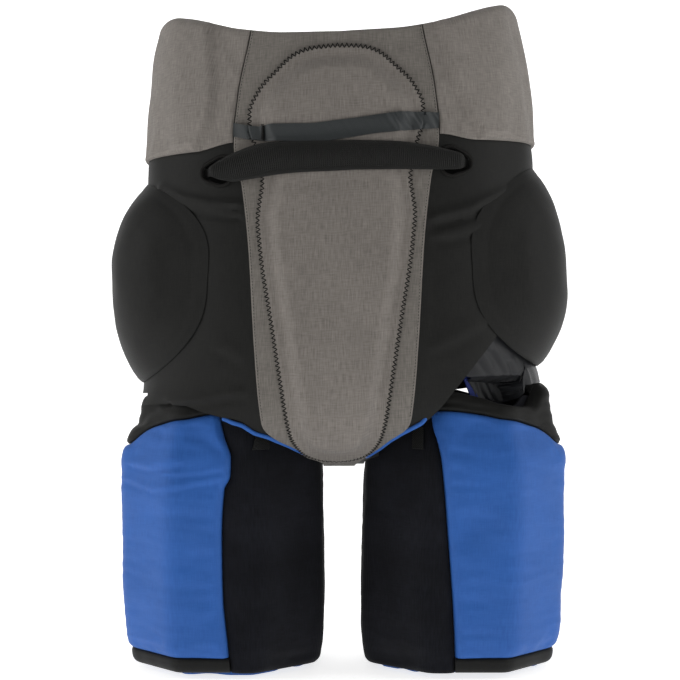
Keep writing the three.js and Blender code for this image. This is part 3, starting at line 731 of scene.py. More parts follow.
def clothRelief(name, outer, inner):
    rows, columns = outer.shape[:2]
    step = clothLook["step"]
    keepRows = np.unique(np.append(np.arange(0, rows, step), rows - 1))
    keepColumns = np.unique(np.append(np.arange(0, columns, step), columns - 1))
    top = outer[np.ix_(keepRows, keepColumns)]
    low = inner[np.ix_(keepRows, keepColumns)]
    piece = layered(name, top, low, (0, 0), merge=0)
    count = top[..., 0].size
    pinned = np.zeros(top.shape[:2], bool)
    pinned[0] = pinned[-1] = True
    pinned[:, 0] = pinned[:, -1] = True
    group = piece.vertex_groups.new(name="pinned")
    group.add(np.nonzero(pinned.ravel())[0].tolist() + list(range(count, 2 * count)), 1.0, "REPLACE")
    modifier = piece.modifiers.new("cloth", "CLOTH")
    cloth = modifier.settings
    cloth.quality = clothLook["quality"]
    cloth.mass = clothLook["mass"]
    cloth.tension_stiffness = cloth.compression_stiffness = clothLook["stiffness"]
    cloth.bending_stiffness = clothLook["bending"]
    cloth.use_pressure = True
    cloth.uniform_pressure_force = clothLook["pressure"]
    cloth.shrink_min = clothLook["slack"]
    cloth.vertex_group_mass = "pinned"
    cloth.effector_weights.gravity = 0
    modifier.collision_settings.use_collision = False
    for at in range(1, clothLook["frames"] + 1):
        scene.frame_set(at)
    graph = bpy.context.evaluated_depsgraph_get()
    result = piece.evaluated_get(graph).data
    moved = np.zeros(len(result.vertices) * 3)
    result.vertices.foreach_get("co", moved)
    moved = moved.reshape(-1, 3)[:count] / mm - top.reshape(-1, 3)
    across = np.gradient(top, axis=1)
    down = np.gradient(top, axis=0)
    normal = np.cross(down, across)
    normal /= np.maximum(np.linalg.norm(normal, axis=-1, keepdims=True), 1e-9)
    outside = np.sum((top - low) * normal, axis=-1, keepdims=True)
    normal *= np.sign(outside.mean())
    relief = np.sum(moved.reshape(top.shape) * normal, -1)
    relief = np.clip(relief, -clothLook["cap"], clothLook["cap"]) * clothLook["share"]
    removeObject(piece)
    scene.frame_set(1)
    wide = np.stack([np.interp(np.arange(columns), keepColumns, row) for row in relief])
    tall = np.stack([np.interp(np.arange(rows), keepRows, column) for column in wide.T], 1)
    for _ in range(step):
        tall[1:-1] = (tall[:-2] + 2 * tall[1:-1] + tall[2:]) / 4
        tall[:, 1:-1] = (tall[:, :-2] + 2 * tall[:, 1:-1] + tall[:, 2:]) / 4
    print("cloth", name, "from", round(float(tall.min()), 2), "to", round(float(tall.max()), 2), "mm")
    return tall


# Shapes of the waistband and of the panel. bevel: by height, how far from the seam the foam begins
band = {
    "bottom": 19.0, "seamRise": 5.0, "foam": 8.2, "edge": 2.2, "seamHalfWidth": 84.5, "shift": -3.0,
    "panelWall": 1.5,
    "bevel": {"left": [(20, 31), (46, 20), (60, 20), (121, 38), (140, 42)],
              "right": [(24, 36), (44, 25), (77, 14), (121, 14), (140, 15)]},
}
gap = form["gap"]
overPanel = 2 * gap + band["panelWall"]
sides = (("left", -1), ("right", 1))


def hipX(angle, z):
    return hipWidthAt(z) * bent(np.cos(angle), form["roundness"])


def topAt(x):
    return form["wingHeight"] * smoothTable(topEdge, np.abs(x) / form["hipHalfWidth"])


def footAt(x):
    fromSeam = np.abs(x - band["shift"]) - band["seamHalfWidth"]
    return band["bottom"] + band["seamRise"] * ease(1 - fromSeam / 32)


def seamX(z, side):
    return band["shift"] + side * band["seamHalfWidth"] * smoothTable(panelEdge, levelOf(z))


def seamAngle(z, side, outside=1):
    return frontAngle(seamX(z, side) + side * outside * gap, z)


def frontLine(x, z, out, closed=False):
    # A line on the front of the brief: its points, their outward directions, and whether it closes
    angle = frontAngle(x, z)
    return raised(briefPoint, angle, z, out), outwardNormal(briefPoint, angle, z), closed


def onBrief(name, angle, z, low, high, **more):
    # A closed piece over the brief, from one height above it to another
    outer = raised(briefPoint, angle, z, high)
    inner = raised(briefPoint, angle, z, low)
    return layered(name, outer, inner, (arcOf(angle), z), **more)


def tapered(fromEdge, radius, least):
    # A share that rounds off from 1 to the least one at an edge
    return least + (1 - least) * rounded(fromEdge, radius)


def bandGrid(rows, columns, startAngle, endAngle):
    # Heights and angles of a patch between two seams, from the top edge down to the foot
    v = edgeSpaced(rows, 0.55)[:, None]
    u = edgeSpaced(columns, 0.3)[None, :]
    z = form["wingHeight"] - v * (form["wingHeight"] - band["bottom"]) + 0 * u
    for _ in range(4):
        start = arcOf(startAngle(z))
        angle = angleAt(start + u * (arcOf(endAngle(z)) - start))
        x = hipX(angle, z)
        top = topAt(x) - gap
        z = top - v * (top - footAt(x))
    return angle, z


def makeWaistPad(name, side):
    behind = 2 * math.pi if side < 0 else 0
    angle, z = bandGrid(58, 190, lambda z: seamAngle(z, side), lambda z: -seamAngle(z, side) - behind)
    base = briefPoint(angle, z)
    x, y = base[..., 0], base[..., 1]
    arc = arcOf(angle)
    fromEnd = np.minimum(np.abs(arc - arc[:, :1]), np.abs(arc[:, -1:] - arc))
    down = topAt(x) - z
    up = z - footAt(x)
    # flat beside the seam, then a firm bevel up to the foam, which is thinner over the hip
    fromSeam = np.where(np.abs(y) > 60, fromEnd, 60)
    fromSeam = fromSeam - np.where(y > 0, 20, smoothTable(band["bevel"][name], z))
    lower = 1 if side > 0 else ease((110 - z) / 40)
    foam = band["foam"] - 3.2 * ease((np.abs(x) - 125) / 22) * lower
    thick = band["edge"] + (foam - band["edge"]) * ease(0.5 + fromSeam / 9)
    thick = thick * tapered(down, 9, 0.35) * tapered(up, 8, 0.45) * tapered(fromEnd, 3, 0.5)
    wave = softNoise(base, 46, 3) * 0.9 + softNoise(base, 19, 5) * 0.25
    thick = thick + wave * ease((fromSeam + 10) / 20) * ease(down / 12) * ease(up / 12)
    outer = raised(briefPoint, angle, z, gap + thick)
    relief = clothRelief("cloth-waist-" + name, outer, raised(briefPoint, angle, z, gap))
    piece = onBrief("waist-pad-" + name, angle, z, gap, gap + thick + relief)
    dressed(piece, "greyStretch", "waist_pad_" + name, soft=0.7)


def makeBackPanel():
    angle, z = bandGrid(40, 70, lambda z: -seamAngle(z, 1, -1), lambda z: -seamAngle(z, -1, -1))
    base = briefPoint(angle, z)
    down = topAt(base[..., 0]) - z
    up = z - footAt(base[..., 0])
    thick = band["edge"] * tapered(down, 4, 0.4) * tapered(up, 4, 0.4)
    thick = thick + softNoise(base, 30, 9) * 0.5 * ease(down / 10) * ease(up / 10)
    piece = onBrief("waist-panel-back", angle, z, gap, gap + thick)
    dressed(piece, "greyStretch", "waist_panel_back", soft=0.3)


# Piping where the brief meets a leg: its front edge as seen from the front, and how far it goes behind
piping = {
    "width": 3.7, "wall": 3.2, "backReach": 86.0,
    "above": {"left": [(-195, -200), (-150, -196), (-128, -197), (-112, -202.5)],
              "right": [(92, -188), (82, -199)]},
    "edge": {"left": [(-98, -206), (-88.9, -207), (-80.7, -209.6), (-71, -216.8), (-60.4, -220.4),
                      (-51.4, -225),
                      (-43.2, -229), (-34, -234.5), (-22, -241)],
             "right": [(74, -207), (66, -212.6), (58, -216.4), (51.4, -219.6), (42, -225.5), (33, -233),
                       (22, -241)]},
}

# Belt: the height of its middle and its half height by x, and the slots that it goes through
belt = {
    "wall": 1.6, "margin": 1.1, "pitch": 1.75, "ribHeight": 0.9,
    "line": [(-118, -4), (-106, -3.6), (-89, -2), (-60, 4), (-40, 5.8), (0, 7), (13, 7.5), (42, 7.5),
             (71, 6.5),
             (95, 4.9), (107, 4.2), (118, 4)],
    "half": [(-108, 3.2), (-104, 4.2), (-99, 7), (-92, 9.6), (-86, 11.4), (-60, 13.6), (-30, 12.7), (16, 12),
             (45, 11.4), (74, 9.6), (88, 8), (97, 6.4), (101, 4.2), (106, 3.2)],
}
slot = {"reach": 110.0, "length": 24.0, "beltWidth": 25.0, "halfHeight": 11.0, "rim": 3.0, "narrow": 0.35}

# Brief shell: the folds that the belt and the hip pads pull into it
brief = {
    "wall": 2.0,
    "folds": [
        {"line": [(-149, -16), (-130, -26), (-108, -31), (-80, -33)], "height": 2.8, "width": 4.5},
        {"line": [(-143, -26), (-122, -34), (-80, -40)], "height": 2.2, "width": 4.0},
        {"line": [(78, -44), (108, -36), (135, -22), (148, -16)], "height": 2.6, "width": 5.5},
        {"line": [(84, -58), (112, -52), (134, -44)], "height": 1.4, "width": 6.0},
        {"line": [(-96, -150), (-80, -158), (-62, -170)], "height": 0.7, "width": 7.0},
        {"line": [(78, -150), (96, -142), (118, -130)], "height": 0.8, "width": 7.0},
        {"line": [(-140, -195), (-110, -192), (-78, -186)], "height": 2.2, "width": 5.0},
    ],
    "columns": 150, "rows": 150,
}
farOut = 300  # beyond the shorts on every side
# x: share of the hip half width. down: share of the crotch depth
cuts = {
    "front": [(0.45, 0.86), (0.47, 0.81), (0.767, 0.568), (0.88, 0.61), (1.3, 0.68), (1.3, 0.98),
              (0.45, 0.98)],
    "back": [(0.5, 0.84), (0.58, 0.77), (0.72, 0.76), (0.8, 0.84), (0.8, 0.98), (0.5, 0.98)],
}


def cutPrism(name, rows, side, yFrom, yTo):
    points = []
    for share, down in rows:
        x = side * share * form["hipHalfWidth"]
        z = -down * form["crotchDepth"]
        points.append((x, z + float(lean(x, z))))
    return prism(name, points, yFrom, yTo)


def beltLift(x):
    return smoothTable(belt["line"], x)


def slotOutline(side, grow, count=40):
    half = slot["halfHeight"] + grow
    length = slot["length"] / 2 + grow
    middle = band["shift"] + side * (slot["reach"] - slot["length"] / 2)
    turn = np.linspace(0, 2 * math.pi, count, endpoint=False)
    outwards = side * bent(np.cos(turn), 4)
    half = half * (1 - slot["narrow"] * ease((outwards + 1) / 2) ** 2)
    x = middle + length * bent(np.cos(turn), 3)
    return x, beltLift(x) + half * bent(np.sin(turn), 2.4)


def edgeHeight(leg, x, rows, drop=0.0):
    middle = leg["side"] * leg["middle"][0] * form["hipHalfWidth"]
    across = ((x - middle) * leg["side"] / form["legHalfWidth"] + 1) / 2
    return headLevel - form["legHead"] * smoothTable(rows, across) - drop


def legBulk(name, leg, clearance, rows=70, columns=140):
    # All that a leg tube fills below its top edge
    point = legPoint(leg)
    turn = np.linspace(-math.pi, math.pi, columns, endpoint=False)[None, :]
    v = np.linspace(0, 1, rows)[:, None]
    low = form["hemLevel"] - 40
    z = headLevel + 20 - v * (headLevel + 20 - low) + 0 * turn
    angle = turn + 0 * v
    for _ in range(3):
        at = raised(point, angle, z, legInset + clearance, flip=leg["side"])
        top = edgeHeight(leg, at[:1, :, 0], yokeTop[name], -clearance)
        z = top - v * (top - low)
    at = raised(point, angle, z, legInset + clearance, flip=leg["side"])
    hub = at.mean(1, keepdims=True)
    rings = [hub[:1] * (1 - s) + at[:1] * s for s in (0.0, 0.5)]
    feet = [hub[-1:] * (1 - s) + at[-1:] * s for s in (0.5, 0.0)]
    grid = np.concatenate(rings + [at] + feet)
    number = np.arange(len(grid) * columns).reshape(len(grid), columns)
    piece = newObject("room-" + name, grid.reshape(-1, 3), gridQuads(number, columns)[0])
    tidyMesh(piece, 0.01)
    return piece


def briefFolds(points):
    x, y, z = points[..., 0], points[..., 1], points[..., 2]
    front = ease((-y - 20) / 40)
    height = foldHeight(brief["folds"], x, z) * front
    height += softNoise(points, 60, 2) * 0.8 + softNoise(points * np.array([1, 1, 1.8]), 24, 6) * 0.25
    low = ease((-150 - z) / 40)
    height += softNoise(points * np.array([0.6, 0.6, 2.2]), 17, 8) * 0.7 * low
    return height


def closedShell(name, outer, inner):
    # A wrapped outer and inner grid with different rows, joined along the top and closed along the crotch
    rows, columns = outer.shape[:2]
    points = np.concatenate([outer.reshape(-1, 3), inner.reshape(-1, 3)])
    number = np.arange(rows * columns).reshape(rows, columns)
    within = np.arange(len(inner) * columns).reshape(len(inner), columns) + rows * columns
    step = np.linalg.norm(np.diff(outer, axis=1, append=outer[:, :1]), axis=2)
    around = np.concatenate([[0], np.cumsum(step[rows // 3])])
    faces, uvs = [], []
    for table, turn in ((number, 1), (within, -1)):
        quad, _, j = gridQuads(table, columns)
        across = np.stack([around[j], around[j], around[j + 1], around[j + 1]], -1)
        faces.append(quad[:, ::turn])
        uvs.append(np.stack([across, points[quad][..., 2]], -1)[:, ::turn])
    j = np.arange(columns)
    k = (j + 1) % columns
    rim = np.stack([number[0, j], number[0, k], within[0, k], within[0, j]], -1)
    across = np.stack([around[j], around[j + 1], around[j + 1], around[j]], -1)
    faces.append(rim)
    uvs.append(np.stack([across, points[rim][..., 2]], -1))
    piece = newObject(name, points, np.concatenate(faces), np.concatenate(uvs).reshape(-1, 2))
    tidyMesh(piece)
    return piece


def makeBriefShell():
    halves = [arcOf(np.array(ends)) for ends in ((-math.pi, 0.0), (0.0, math.pi))]
    arcs = np.concatenate([np.linspace(*ends, brief["columns"], endpoint=False) for ends in halves])
    angle = angleAt(arcs)[None, :]
    v = np.linspace(0, 1, brief["rows"])[:, None]
    v = v * (1 - 0.12 * v * (1 - v))
    x = hipX(angle, form["wingHeight"] + 0 * angle)
    for _ in range(3):
        x = hipX(angle, topAt(x))
    z = topAt(x) - v * (topAt(x) + form["crotchDepth"])
    angle = angle + 0 * v
    base = briefPoint(angle, z)
    # no folds under the waistband or the panel
    bare = ease((band["bottom"] - 2 - z) / 8)
    beside = ease((np.abs(base[..., 0] - band["shift"]) - band["seamHalfWidth"] * 0.86) / 8)
    outer = raised(briefPoint, angle, z, briefFolds(base) * bare * np.where(base[..., 1] < 0, beside, 1))
    outer[-1] = base[-1]
    inner = raised(briefPoint, angle, z, -brief["wall"])
    inner[-1] = base[-1] + np.array([0, 0, brief["wall"]])
    fewer = list(range(0, brief["rows"] - 1, 3)) + [brief["rows"] - 1]
    return closedShell("brief-shell", outer, inner[fewer])


def makeBriefCutters():
    cutters = [legBulk(name, leg, gap + 0.6) for name, leg in legs.items()]
    cutters += [cutPrism("cut-front", cuts["front"], 1, -farOut, 0),
                cutPrism("cut-back-right", cuts["back"], 1, 0, farOut),
                cutPrism("cut-back-left", cuts["back"], -1, 0, farOut)]
    for name, row in piping["edge"].items():
        above = piping["above"][name]
        under = above + row[:-1] + [(row[-2][0], -farOut), (above[0][0], -farOut)]
        cutters.append(prism("cut-" + name, under if name == "left" else under[::-1], -farOut, -20))
    for _, side in sides:
        cutters.append(prism("cut-slot", list(zip(*slotOutline(side, 0))), -farOut, 0))
    return cutters


def largestPart(piece):
    work = bmesh.new()
    work.from_mesh(piece.data)
    work.verts.ensure_lookup_table()
    seen = set()
    groups = []
    for vertex in work.verts:
        if vertex.index in seen:
            continue
        stack, group = [vertex], []
        seen.add(vertex.index)
        while stack:
            at = stack.pop()
            group.append(at)
            for edge in at.link_edges:
                other = edge.other_vert(at)
                if other.index not in seen:
                    seen.add(other.index)
                    stack.append(other)
        groups.append(group)
    groups.sort(key=len, reverse=True)
    for group in groups[1:]:
        bmesh.ops.delete(work, geom=group, context="VERTS")
    work.to_mesh(piece.data)
    work.free()


def trimmed(piece, cutters):
    cutBy(piece, cutters)
    tidyMesh(piece, 0.01)
    largestPart(piece)
    return piece


for name, side in sides:
    makeWaistPad(name, side)
makeBackPanel()
print("waistband made")
shell = makeBriefShell()
briefCutters = makeBriefCutters()
dressed(trimmed(shell, briefCutters), "blackStretch", "brief_shell")
cutFlat(shell, "stretched")
print("brief shell made")


# Centre panel
def makeCentrePanel():
    v = edgeSpaced(150, 0.2)[:, None]
    u = edgeSpaced(70, 0.35)[None, :] * 2 - 1
    low = -form["crotchDepth"]
    x = band["shift"] + u * 70 + 0 * v
    for _ in range(4):
        top = topAt(x) - gap
        z = top - v * (top - low)
        half = band["seamHalfWidth"] * smoothTable(panelEdge, levelOf(z)) - gap
        x = band["shift"] + u * half
    angle = frontAngle(x, z)
    base = briefPoint(angle, z)
    side = (1 - np.abs(u)) * half
    down = top - z
    wall = band["panelWall"] * tapered(side, 1.6, 0.35) * tapered(down, 3, 0.5)
    wave = softNoise(base, 34, 4) * 0.35 * ease(side / 10) * ease(down / 10)
    outer = raised(briefPoint, angle, z, gap + wall + np.clip(wave, -0.5, 0.2))
    inner = raised(briefPoint, angle, z, gap)
    outer[-1] = base[-1] - np.array([0, 0, gap + band["panelWall"]])
    inner[-1] = base[-1] - np.array([0, 0, gap])
    return layered("centre-panel", outer, inner, (arcOf(angle), z))


# the centre panel takes the darker grey copy, which is painted shade
dressed(trimmed(makeCentrePanel(), briefCutters[:2]), "greyPanelPaintedShade", "centre_panel", soft=0.2)

# Centre pad. down: share of the pad's length. width: share of its half width
pad = {
    "top": 99.0, "bottom": 243.0, "halfWidth": 71.0, "foam": 9.0, "edge": 2.5, "channel": 8.0, "slope": 12.0,
    "beltSeat": 0.8, "beltMargin": 6.0,
}
padOutline = [
    (0, 0), (0.003, 0.24), (0.01, 0.4), (0.024, 0.53), (0.049, 0.66), (0.099, 0.89), (0.153, 1.0),
    (0.186, 0.998),
    (0.24, 0.93), (0.325, 0.85), (0.37, 0.88), (0.413, 0.904), (0.46, 0.885), (0.512, 0.859), (0.645, 0.758),
    (0.787, 0.655), (0.909, 0.563), (0.942, 0.514), (0.974, 0.408), (0.992, 0.25), (0.998, 0.12), (1, 0),
]


def padEdgeLine(count=220):
    # The pad's outline as even steps, down the right side and up the left
    length = pad["top"] + pad["bottom"]
    t = np.linspace(0, math.pi, 4000)
    down = (1 - np.cos(t)) / 2
    x = pad["halfWidth"] * smoothTable(padOutline, down)
    z = pad["top"] - down * length
    arc = np.concatenate([[0], np.cumsum(np.hypot(np.diff(x), np.diff(z)))])
    even = np.linspace(0, arc[-1], count // 2 + 1)
    right = np.stack([np.interp(even, arc, x), np.interp(even, arc, z)], -1)
    left = right[1:-1][::-1] * np.array([-1, 1])
    return np.concatenate([right, left])

padLine = padEdgeLine()
padLoop = np.vstack([padLine, padLine[:1]])


def padThickness(x, z, fromEdge):
    fromBelt = np.abs(z - beltLift(x)) - slot["beltWidth"] / 2 - pad["beltMargin"]
    seat = pad["beltSeat"] + (1 - pad["beltSeat"]) * ease(fromBelt / 12)
    rise = ease((fromEdge - pad["channel"]) / pad["slope"])
    return pad["edge"] * tapered(fromEdge, 2.0, 0.3) + (pad["foam"] - pad["edge"]) * rise * seat


def makeCentrePad():
    spineTop, spineLow = pad["top"] - 62, -pad["bottom"] + 34
    spine = np.stack([np.zeros(len(padLine)), np.clip(padLine[:, 1], spineLow, spineTop)], -1)
    steps = np.concatenate([np.linspace(0, 0.5, 24), np.linspace(0.5, 1, 20)[1:]])[:, None, None]
    grid = padLine[None] * (1 - steps) + spine[None] * steps
    x, z = grid[..., 0] + band["shift"], grid[..., 1]
    fromEdge = distanceTo(padLoop, grid[..., 0], grid[..., 1])
    angle = frontAngle(x, z)
    thick = padThickness(x, z, fromEdge)
    thick = thick + softNoise(briefPoint(angle, z), 40, 11) * 0.5 * ease((fromEdge - 14) / 10)
    return onBrief("centre-pad", angle, z, overPanel, overPanel + thick, wrap=True, merge=0.05, disc=True)


# the centre pad takes a darker grey copy, which is painted shade
dressed(trimmed(makeCentrePad(), briefCutters[:2]), "greyPadPaintedShade", "centre_pad", soft=0.6)
print("centre panel and pad made")


# Hip pads. upper, lower, front: from the middle of the dome outwards, how far it stands out. slim: share
# taken off each dome, and more of it above or below its middle
dome = {
    "level": 86.0, "halfLength": 97.0, "halfHeight": 86.0, "squareness": 2.8,
    "upper": [(0, 33.5), (0.13, 32.8), (0.29, 30.4), (0.45, 27.0), (0.62, 22.0), (0.78, 14.5), (0.9, 7.0),
              (0.97, 2.2), (1, 0.3)],
    "lower": [(0, 33.5), (0.2, 32.6), (0.36, 30.6), (0.54, 26.4), (0.69, 21.0), (0.86, 12.5), (0.95, 6.5),
              (1, 0.8)],
    "front": [(0, 33.5), (0.3, 31.0), (0.5, 26.5), (0.66, 18.5), (0.8, 8.5), (0.9, 3.0), (0.97, 0.7),
              (1, 0.15)],
    "slim": {"left": 0.05, "right": 0.09}, "slimUp": 0.1, "slimDown": 0.14, "crown": 0.14,
    "seam": {"at": 0.93, "width": 0.014, "depth": 0.35},
}


def makeHipPad(name, side):
    reach = np.linspace(1, 0, 64)[:, None]
    turn = np.linspace(0, 2 * math.pi, 200, endpoint=False)[None, :]
    y = dome["halfLength"] * reach * bent(np.cos(turn), dome["squareness"])
    z = dome["halfHeight"] * reach * bent(np.sin(turn), dome["squareness"]) - dome["level"]
    depth = form["hipHalfDepth"] * smoothTable(briefSections, levelOf(z), 2)
    angle = np.arcsin(bent(np.clip(y / depth, -0.999, 0.999), 4 / form["roundness"]))
    if side < 0:
        angle = math.pi - angle
    above = np.clip(bent(np.sin(turn), dome["squareness"]), -1, 1) + 0 * reach
    crown = dome["crown"]
    out = (np.sqrt(reach ** 2 + crown ** 2) - crown) / (math.sqrt(1 + crown ** 2) - crown)
    upper, lower, front = (smoothTable(dome[part], out) for part in ("upper", "lower", "front"))
    weight = np.abs(above) ** 1.5
    rise = front * (1 - weight) + np.where(above > 0, upper, lower) * weight
    up = above * reach / 1.2
    more = dome["slimUp"] * ease(up + 0.6) if side > 0 else dome["slimDown"] * ease(0.35 - up)
    rise = rise * (1 - dome["slim"][name] - more)
    base = briefPoint(angle, z)
    rise = rise + softNoise(base, 50, 21 + side) * 1.1 * ease((1 - reach) / 0.2)
    rise = rise + softNoise(base * np.array([1, 1, 1.5]), 22, 23) * 0.35 * ease((1 - reach) / 0.1)
    seam = dome["seam"]
    rise = rise - seam["depth"] * np.exp(-((reach - seam["at"]) / seam["width"]) ** 2)
    return onBrief("hip-pad-" + name, angle, z, gap, gap + rise, wrap=True, merge=0.05, disc=True)


for name, side in sides:
    dressed(makeHipPad(name, side), "blackStretch", "hip_pad_" + name, soft=0.8)
print("hip pads made")


# Belt
def beltCourse():
    high = overPanel + pad["foam"] * pad["beltSeat"] + belt["margin"]
    low = overPanel + pad["edge"] + belt["margin"]
    inside = -(brief["wall"] + belt["margin"] + belt["wall"])
    reach = slot["reach"]
    # by the distance from the middle, how far the belt stands out from the brief
    rows = [(0, high), (0.25 * reach, high), (0.42 * reach, high), (0.62 * reach, (high + low) / 2),
            (0.8 * reach, low), (0.91 * reach, low - 1.5), (0.955 * reach, -1.2), (reach - 2, inside),
            (1.2 * reach, inside), (400, inside)]
    count = 420
    half = ringArc[-1] / 4
    angle = angleAt(arcOf(np.array(-math.pi / 2)) + np.linspace(-half, half, count, endpoint=False))
    x, y = briefPoint(angle, np.zeros(count))[:, :2].T
    out = smoothTable(rows, np.where(y < 0, np.abs(x - band["shift"]), 399))
    lift = beltLift(x) * ease(0.5 - y / 60)
    point = raised(briefPoint, angle, lift - lean(x, lift), out)
    normal = outwardNormal(briefPoint, angle, lift)
    normal[:, 2] *= 0.3
    return point, normal, np.where(y < 0, smoothTable(belt["half"], x) / slot["beltWidth"] * 2, 1)


def makeBelt():
    point, normal, widths = beltCourse()
    half = slot["beltWidth"] / 2
    wall = belt["wall"]
    profile = [(-half, 0.4), (-half, wall - 0.4), (-half + 0.5, wall), (-half + 3, wall), (0, wall),
               (half - 3, wall),
               (half - 0.5, wall), (half, wall - 0.4), (half, 0.4), (half - 0.5, 0), (-half + 0.5, 0)]
    # narrower where it goes through the slots
    away = np.where(point[:, 1] < 0, np.abs(point[:, 0] - band["shift"]), 400)
    through = ease((away - 105) / 12)
    widths = widths * (1 - through) + 0.55 * through + 0.45 * ease((away - 150) / 40)
    piece = sweep("belt-webbing", point, normal, profile, closed=True, widths=widths)
    outside = point + normal / np.linalg.norm(normal, axis=1, keepdims=True) * wall
    stitched("belt-ribs", [(outside, normal, True)], "webbing",
             {"pitch": belt["pitch"], "length": belt["pitch"] * 0.8, "width": slot["beltWidth"] - 0.6,
              "height": belt["ribHeight"]}, widths)
    dressed(piece, "webbing", "belt_webbing")


makeBelt()

# Bound rims of the slots
half = slot["rim"] / 2
profile = [(half * math.cos(t), max(0.0, 1.7 * math.sin(t))) for t in np.linspace(0, math.pi, 9)]
for name, side in sides:
    x, z = slotOutline(side, half, 120)
    if side > 0:
        x, z = np.roll(x, 60), np.roll(z, 60)
    shown = np.abs(x - band["shift"]) > band["seamHalfWidth"] * 0.985
    x, z = x[shown], z[shown]
    path, normal, _ = frontLine(x, z - lean(x, z), gap)
    dressed(sweep("slot-rim-" + name, path, normal, profile), "thread", "slot_rim_" + name)
print("belt made")


# Tape across the pad, with a folded end on the left and crinkles on the right
tape = {
    "wall": 1.0, "reach": 83.0, "tab": 25.0, "tack": (-61.5, 26.5),
    "line": [(-88, 30.6), (-62, 25.6), (-25, 25.2), (0, 27.6), (12, 29.2), (53, 35.8), (80, 38)],
    "wide": [(-88, 11), (-66, 12), (-52, 15.4), (-25, 15.8), (-5, 17), (27, 16.5), (62, 14.7), (80, 12.9)],
}


def padOut(x, z):
    fromEdge = distanceTo(padLoop, x - band["shift"], z)
    inside = smoothTable(sorted((pad["top"] - d * (pad["top"] + pad["bottom"]), w) for d, w in padOutline), z)
    within = np.abs(x - band["shift"]) < inside * pad["halfWidth"]
    return overPanel + np.where(within, padThickness(x, z, fromEdge), pad["edge"] * ease(1 - fromEdge / 12))


def makeTape(name, fromX, toX, lift, wall, wrinkle):
    rows, columns = 15, max(30, int(toX - fromX))
    x = np.linspace(fromX, toX, columns)[None, :] + np.zeros((rows, 1))
    t = (x - band["shift"]) / tape["reach"]
    v = np.linspace(-0.5, 0.5, rows)[:, None]
    z = smoothTable(tape["line"], x) + v * smoothTable(tape["wide"], x)
    z = z - lean(x, z)
    angle = frontAngle(x, z)
    base = briefPoint(angle, z)
    low = padOut(x, z) + lift
    slanted = base @ np.array([[2.6, 0, 0.9], [0, 0.2, 0], [1.7, 0, 0.3]])
    crease = softNoise(slanted, 14, 31) + 0.7 * softNoise(slanted, 8, 33)
    out = np.maximum(low + wrinkle * (0.25 + ease((t - 0.35) / 0.35) * 2.0) * (crease + 0.4), low)
    outer = raised(briefPoint, angle, z, out + wall)
    inner = raised(briefPoint, angle, z, out)
    return layered(name, outer[::-1], inner[::-1], (x[::-1], z[::-1]))


tapeFrom = band["shift"] - tape["reach"]
tapePiece = makeTape("waist-tape", tapeFrom, tapeFrom + 2 * tape["reach"], gap, tape["wall"], 0.8)
dressed(tapePiece, "coatedTape", "waist_tape")
tabPiece = makeTape("tape-tab", tapeFrom, tapeFrom + tape["tab"], gap * 2 + tape["wall"], 1.3, 0.35)
dressed(tabPiece, "coatedTape", "tape_tab")
tackX, tackZ = tape["tack"]
z = np.linspace(tackZ + 6.2, tackZ - 6.2, 30)
x = tackX + 0.6 * (z - tackZ) / 12
z = z - lean(x, z)
stitched("tape-tack", [frontLine(x, z, padOut(x, z) + 2 * tape["wall"] + 1.4)], "thread",
         {"pitch": 0.9, "length": 3.0, "width": 0.9, "height": 0.9, "turn": 80, "jitter": 12, "seed": 9})

# Lining behind the cut on the right. edge: by height, where it begins beside the panel
gusset = {
    "wall": 1.6, "hem": -177.0, "tuck": 22.0, "top": -122.0,
    "binding": [(118, -170), (119.5, -182), (124, -195), (126, -203)],
    "edge": [(-206, 128), (-193, 125), (-186, 121), (-180, 115), (-176, 104), (-170, 96), (-160, 88),
             (-122, 84)],
    "folds": [
        {"line": [(128, -150), (140, -165), (152, -196)], "height": 1.2, "width": 4.0},
        {"line": [(118, -158), (132, -176), (142, -198)], "height": 1.3, "width": 4.0},
        {"line": [(146, -160), (150, -176), (148, -200)], "height": 1.4, "width": 3.0},
        {"line": [(156, -168), (159, -182), (157, -200)], "height": 1.2, "width": 2.6},
    ],
}


def makeGusset():
    v = np.linspace(0, 1, 80)[:, None]
    u = np.linspace(0, 1, 90)[None, :]
    z = gusset["top"] - 84 * v
    for _ in range(3):
        start = arcOf(frontAngle(smoothTable(gusset["edge"], z), z))
        angle = angleAt(start + (arcOf(np.array(0.35)) - start) * u)
        z = gusset["top"] - v * (94 - 30 * ease((hipX(angle, z) - 150) / 12))
    base = briefPoint(angle, z)
    x = base[..., 0]
    wave = foldHeight(gusset["folds"], x, base[..., 2])
    wave += softNoise(base * np.array([1.6, 1.6, 0.5]), 16, 41) * 0.8
    hem = gusset["hem"] - 30 * ease((x - 150) / 10) * ease(-base[..., 1] / 20 + 0.5)
    tucked = gusset["tuck"] * ease((hem - z) / 7)
    fuller = 4.5 * ease((x - 146) / 14) * ease((-160 - z) / 20)
    out = -brief["wall"] - gap - 1.0 + np.clip(wave, -3, 0.9) - tucked + fuller
    return onBrief("side-gusset-right", angle, z, out - gusset["wall"], out)


gussetPiece = makeGusset()
dressed(gussetPiece, "satinLining", "side_gusset_right")
cutFlat(gussetPiece, "gathered", "brief-shell")
x, z = (np.interp(np.linspace(0, 3, 30), range(4), column) for column in zip(*gusset["binding"]))
path, normal, _ = frontLine(x, z, -gusset["tuck"] - 4.5)
profile = [(-3.4, 0), (-3.0, 0.8), (3.0, 0.8), (3.4, 0), (3.0, -0.8), (-3.0, -0.8)]
# the binding takes the darker blue copy, which is painted shade
dressed(sweep("lining-binding", path, normal, profile), "blueStretchPaintedShade")
print("tape and lining made")


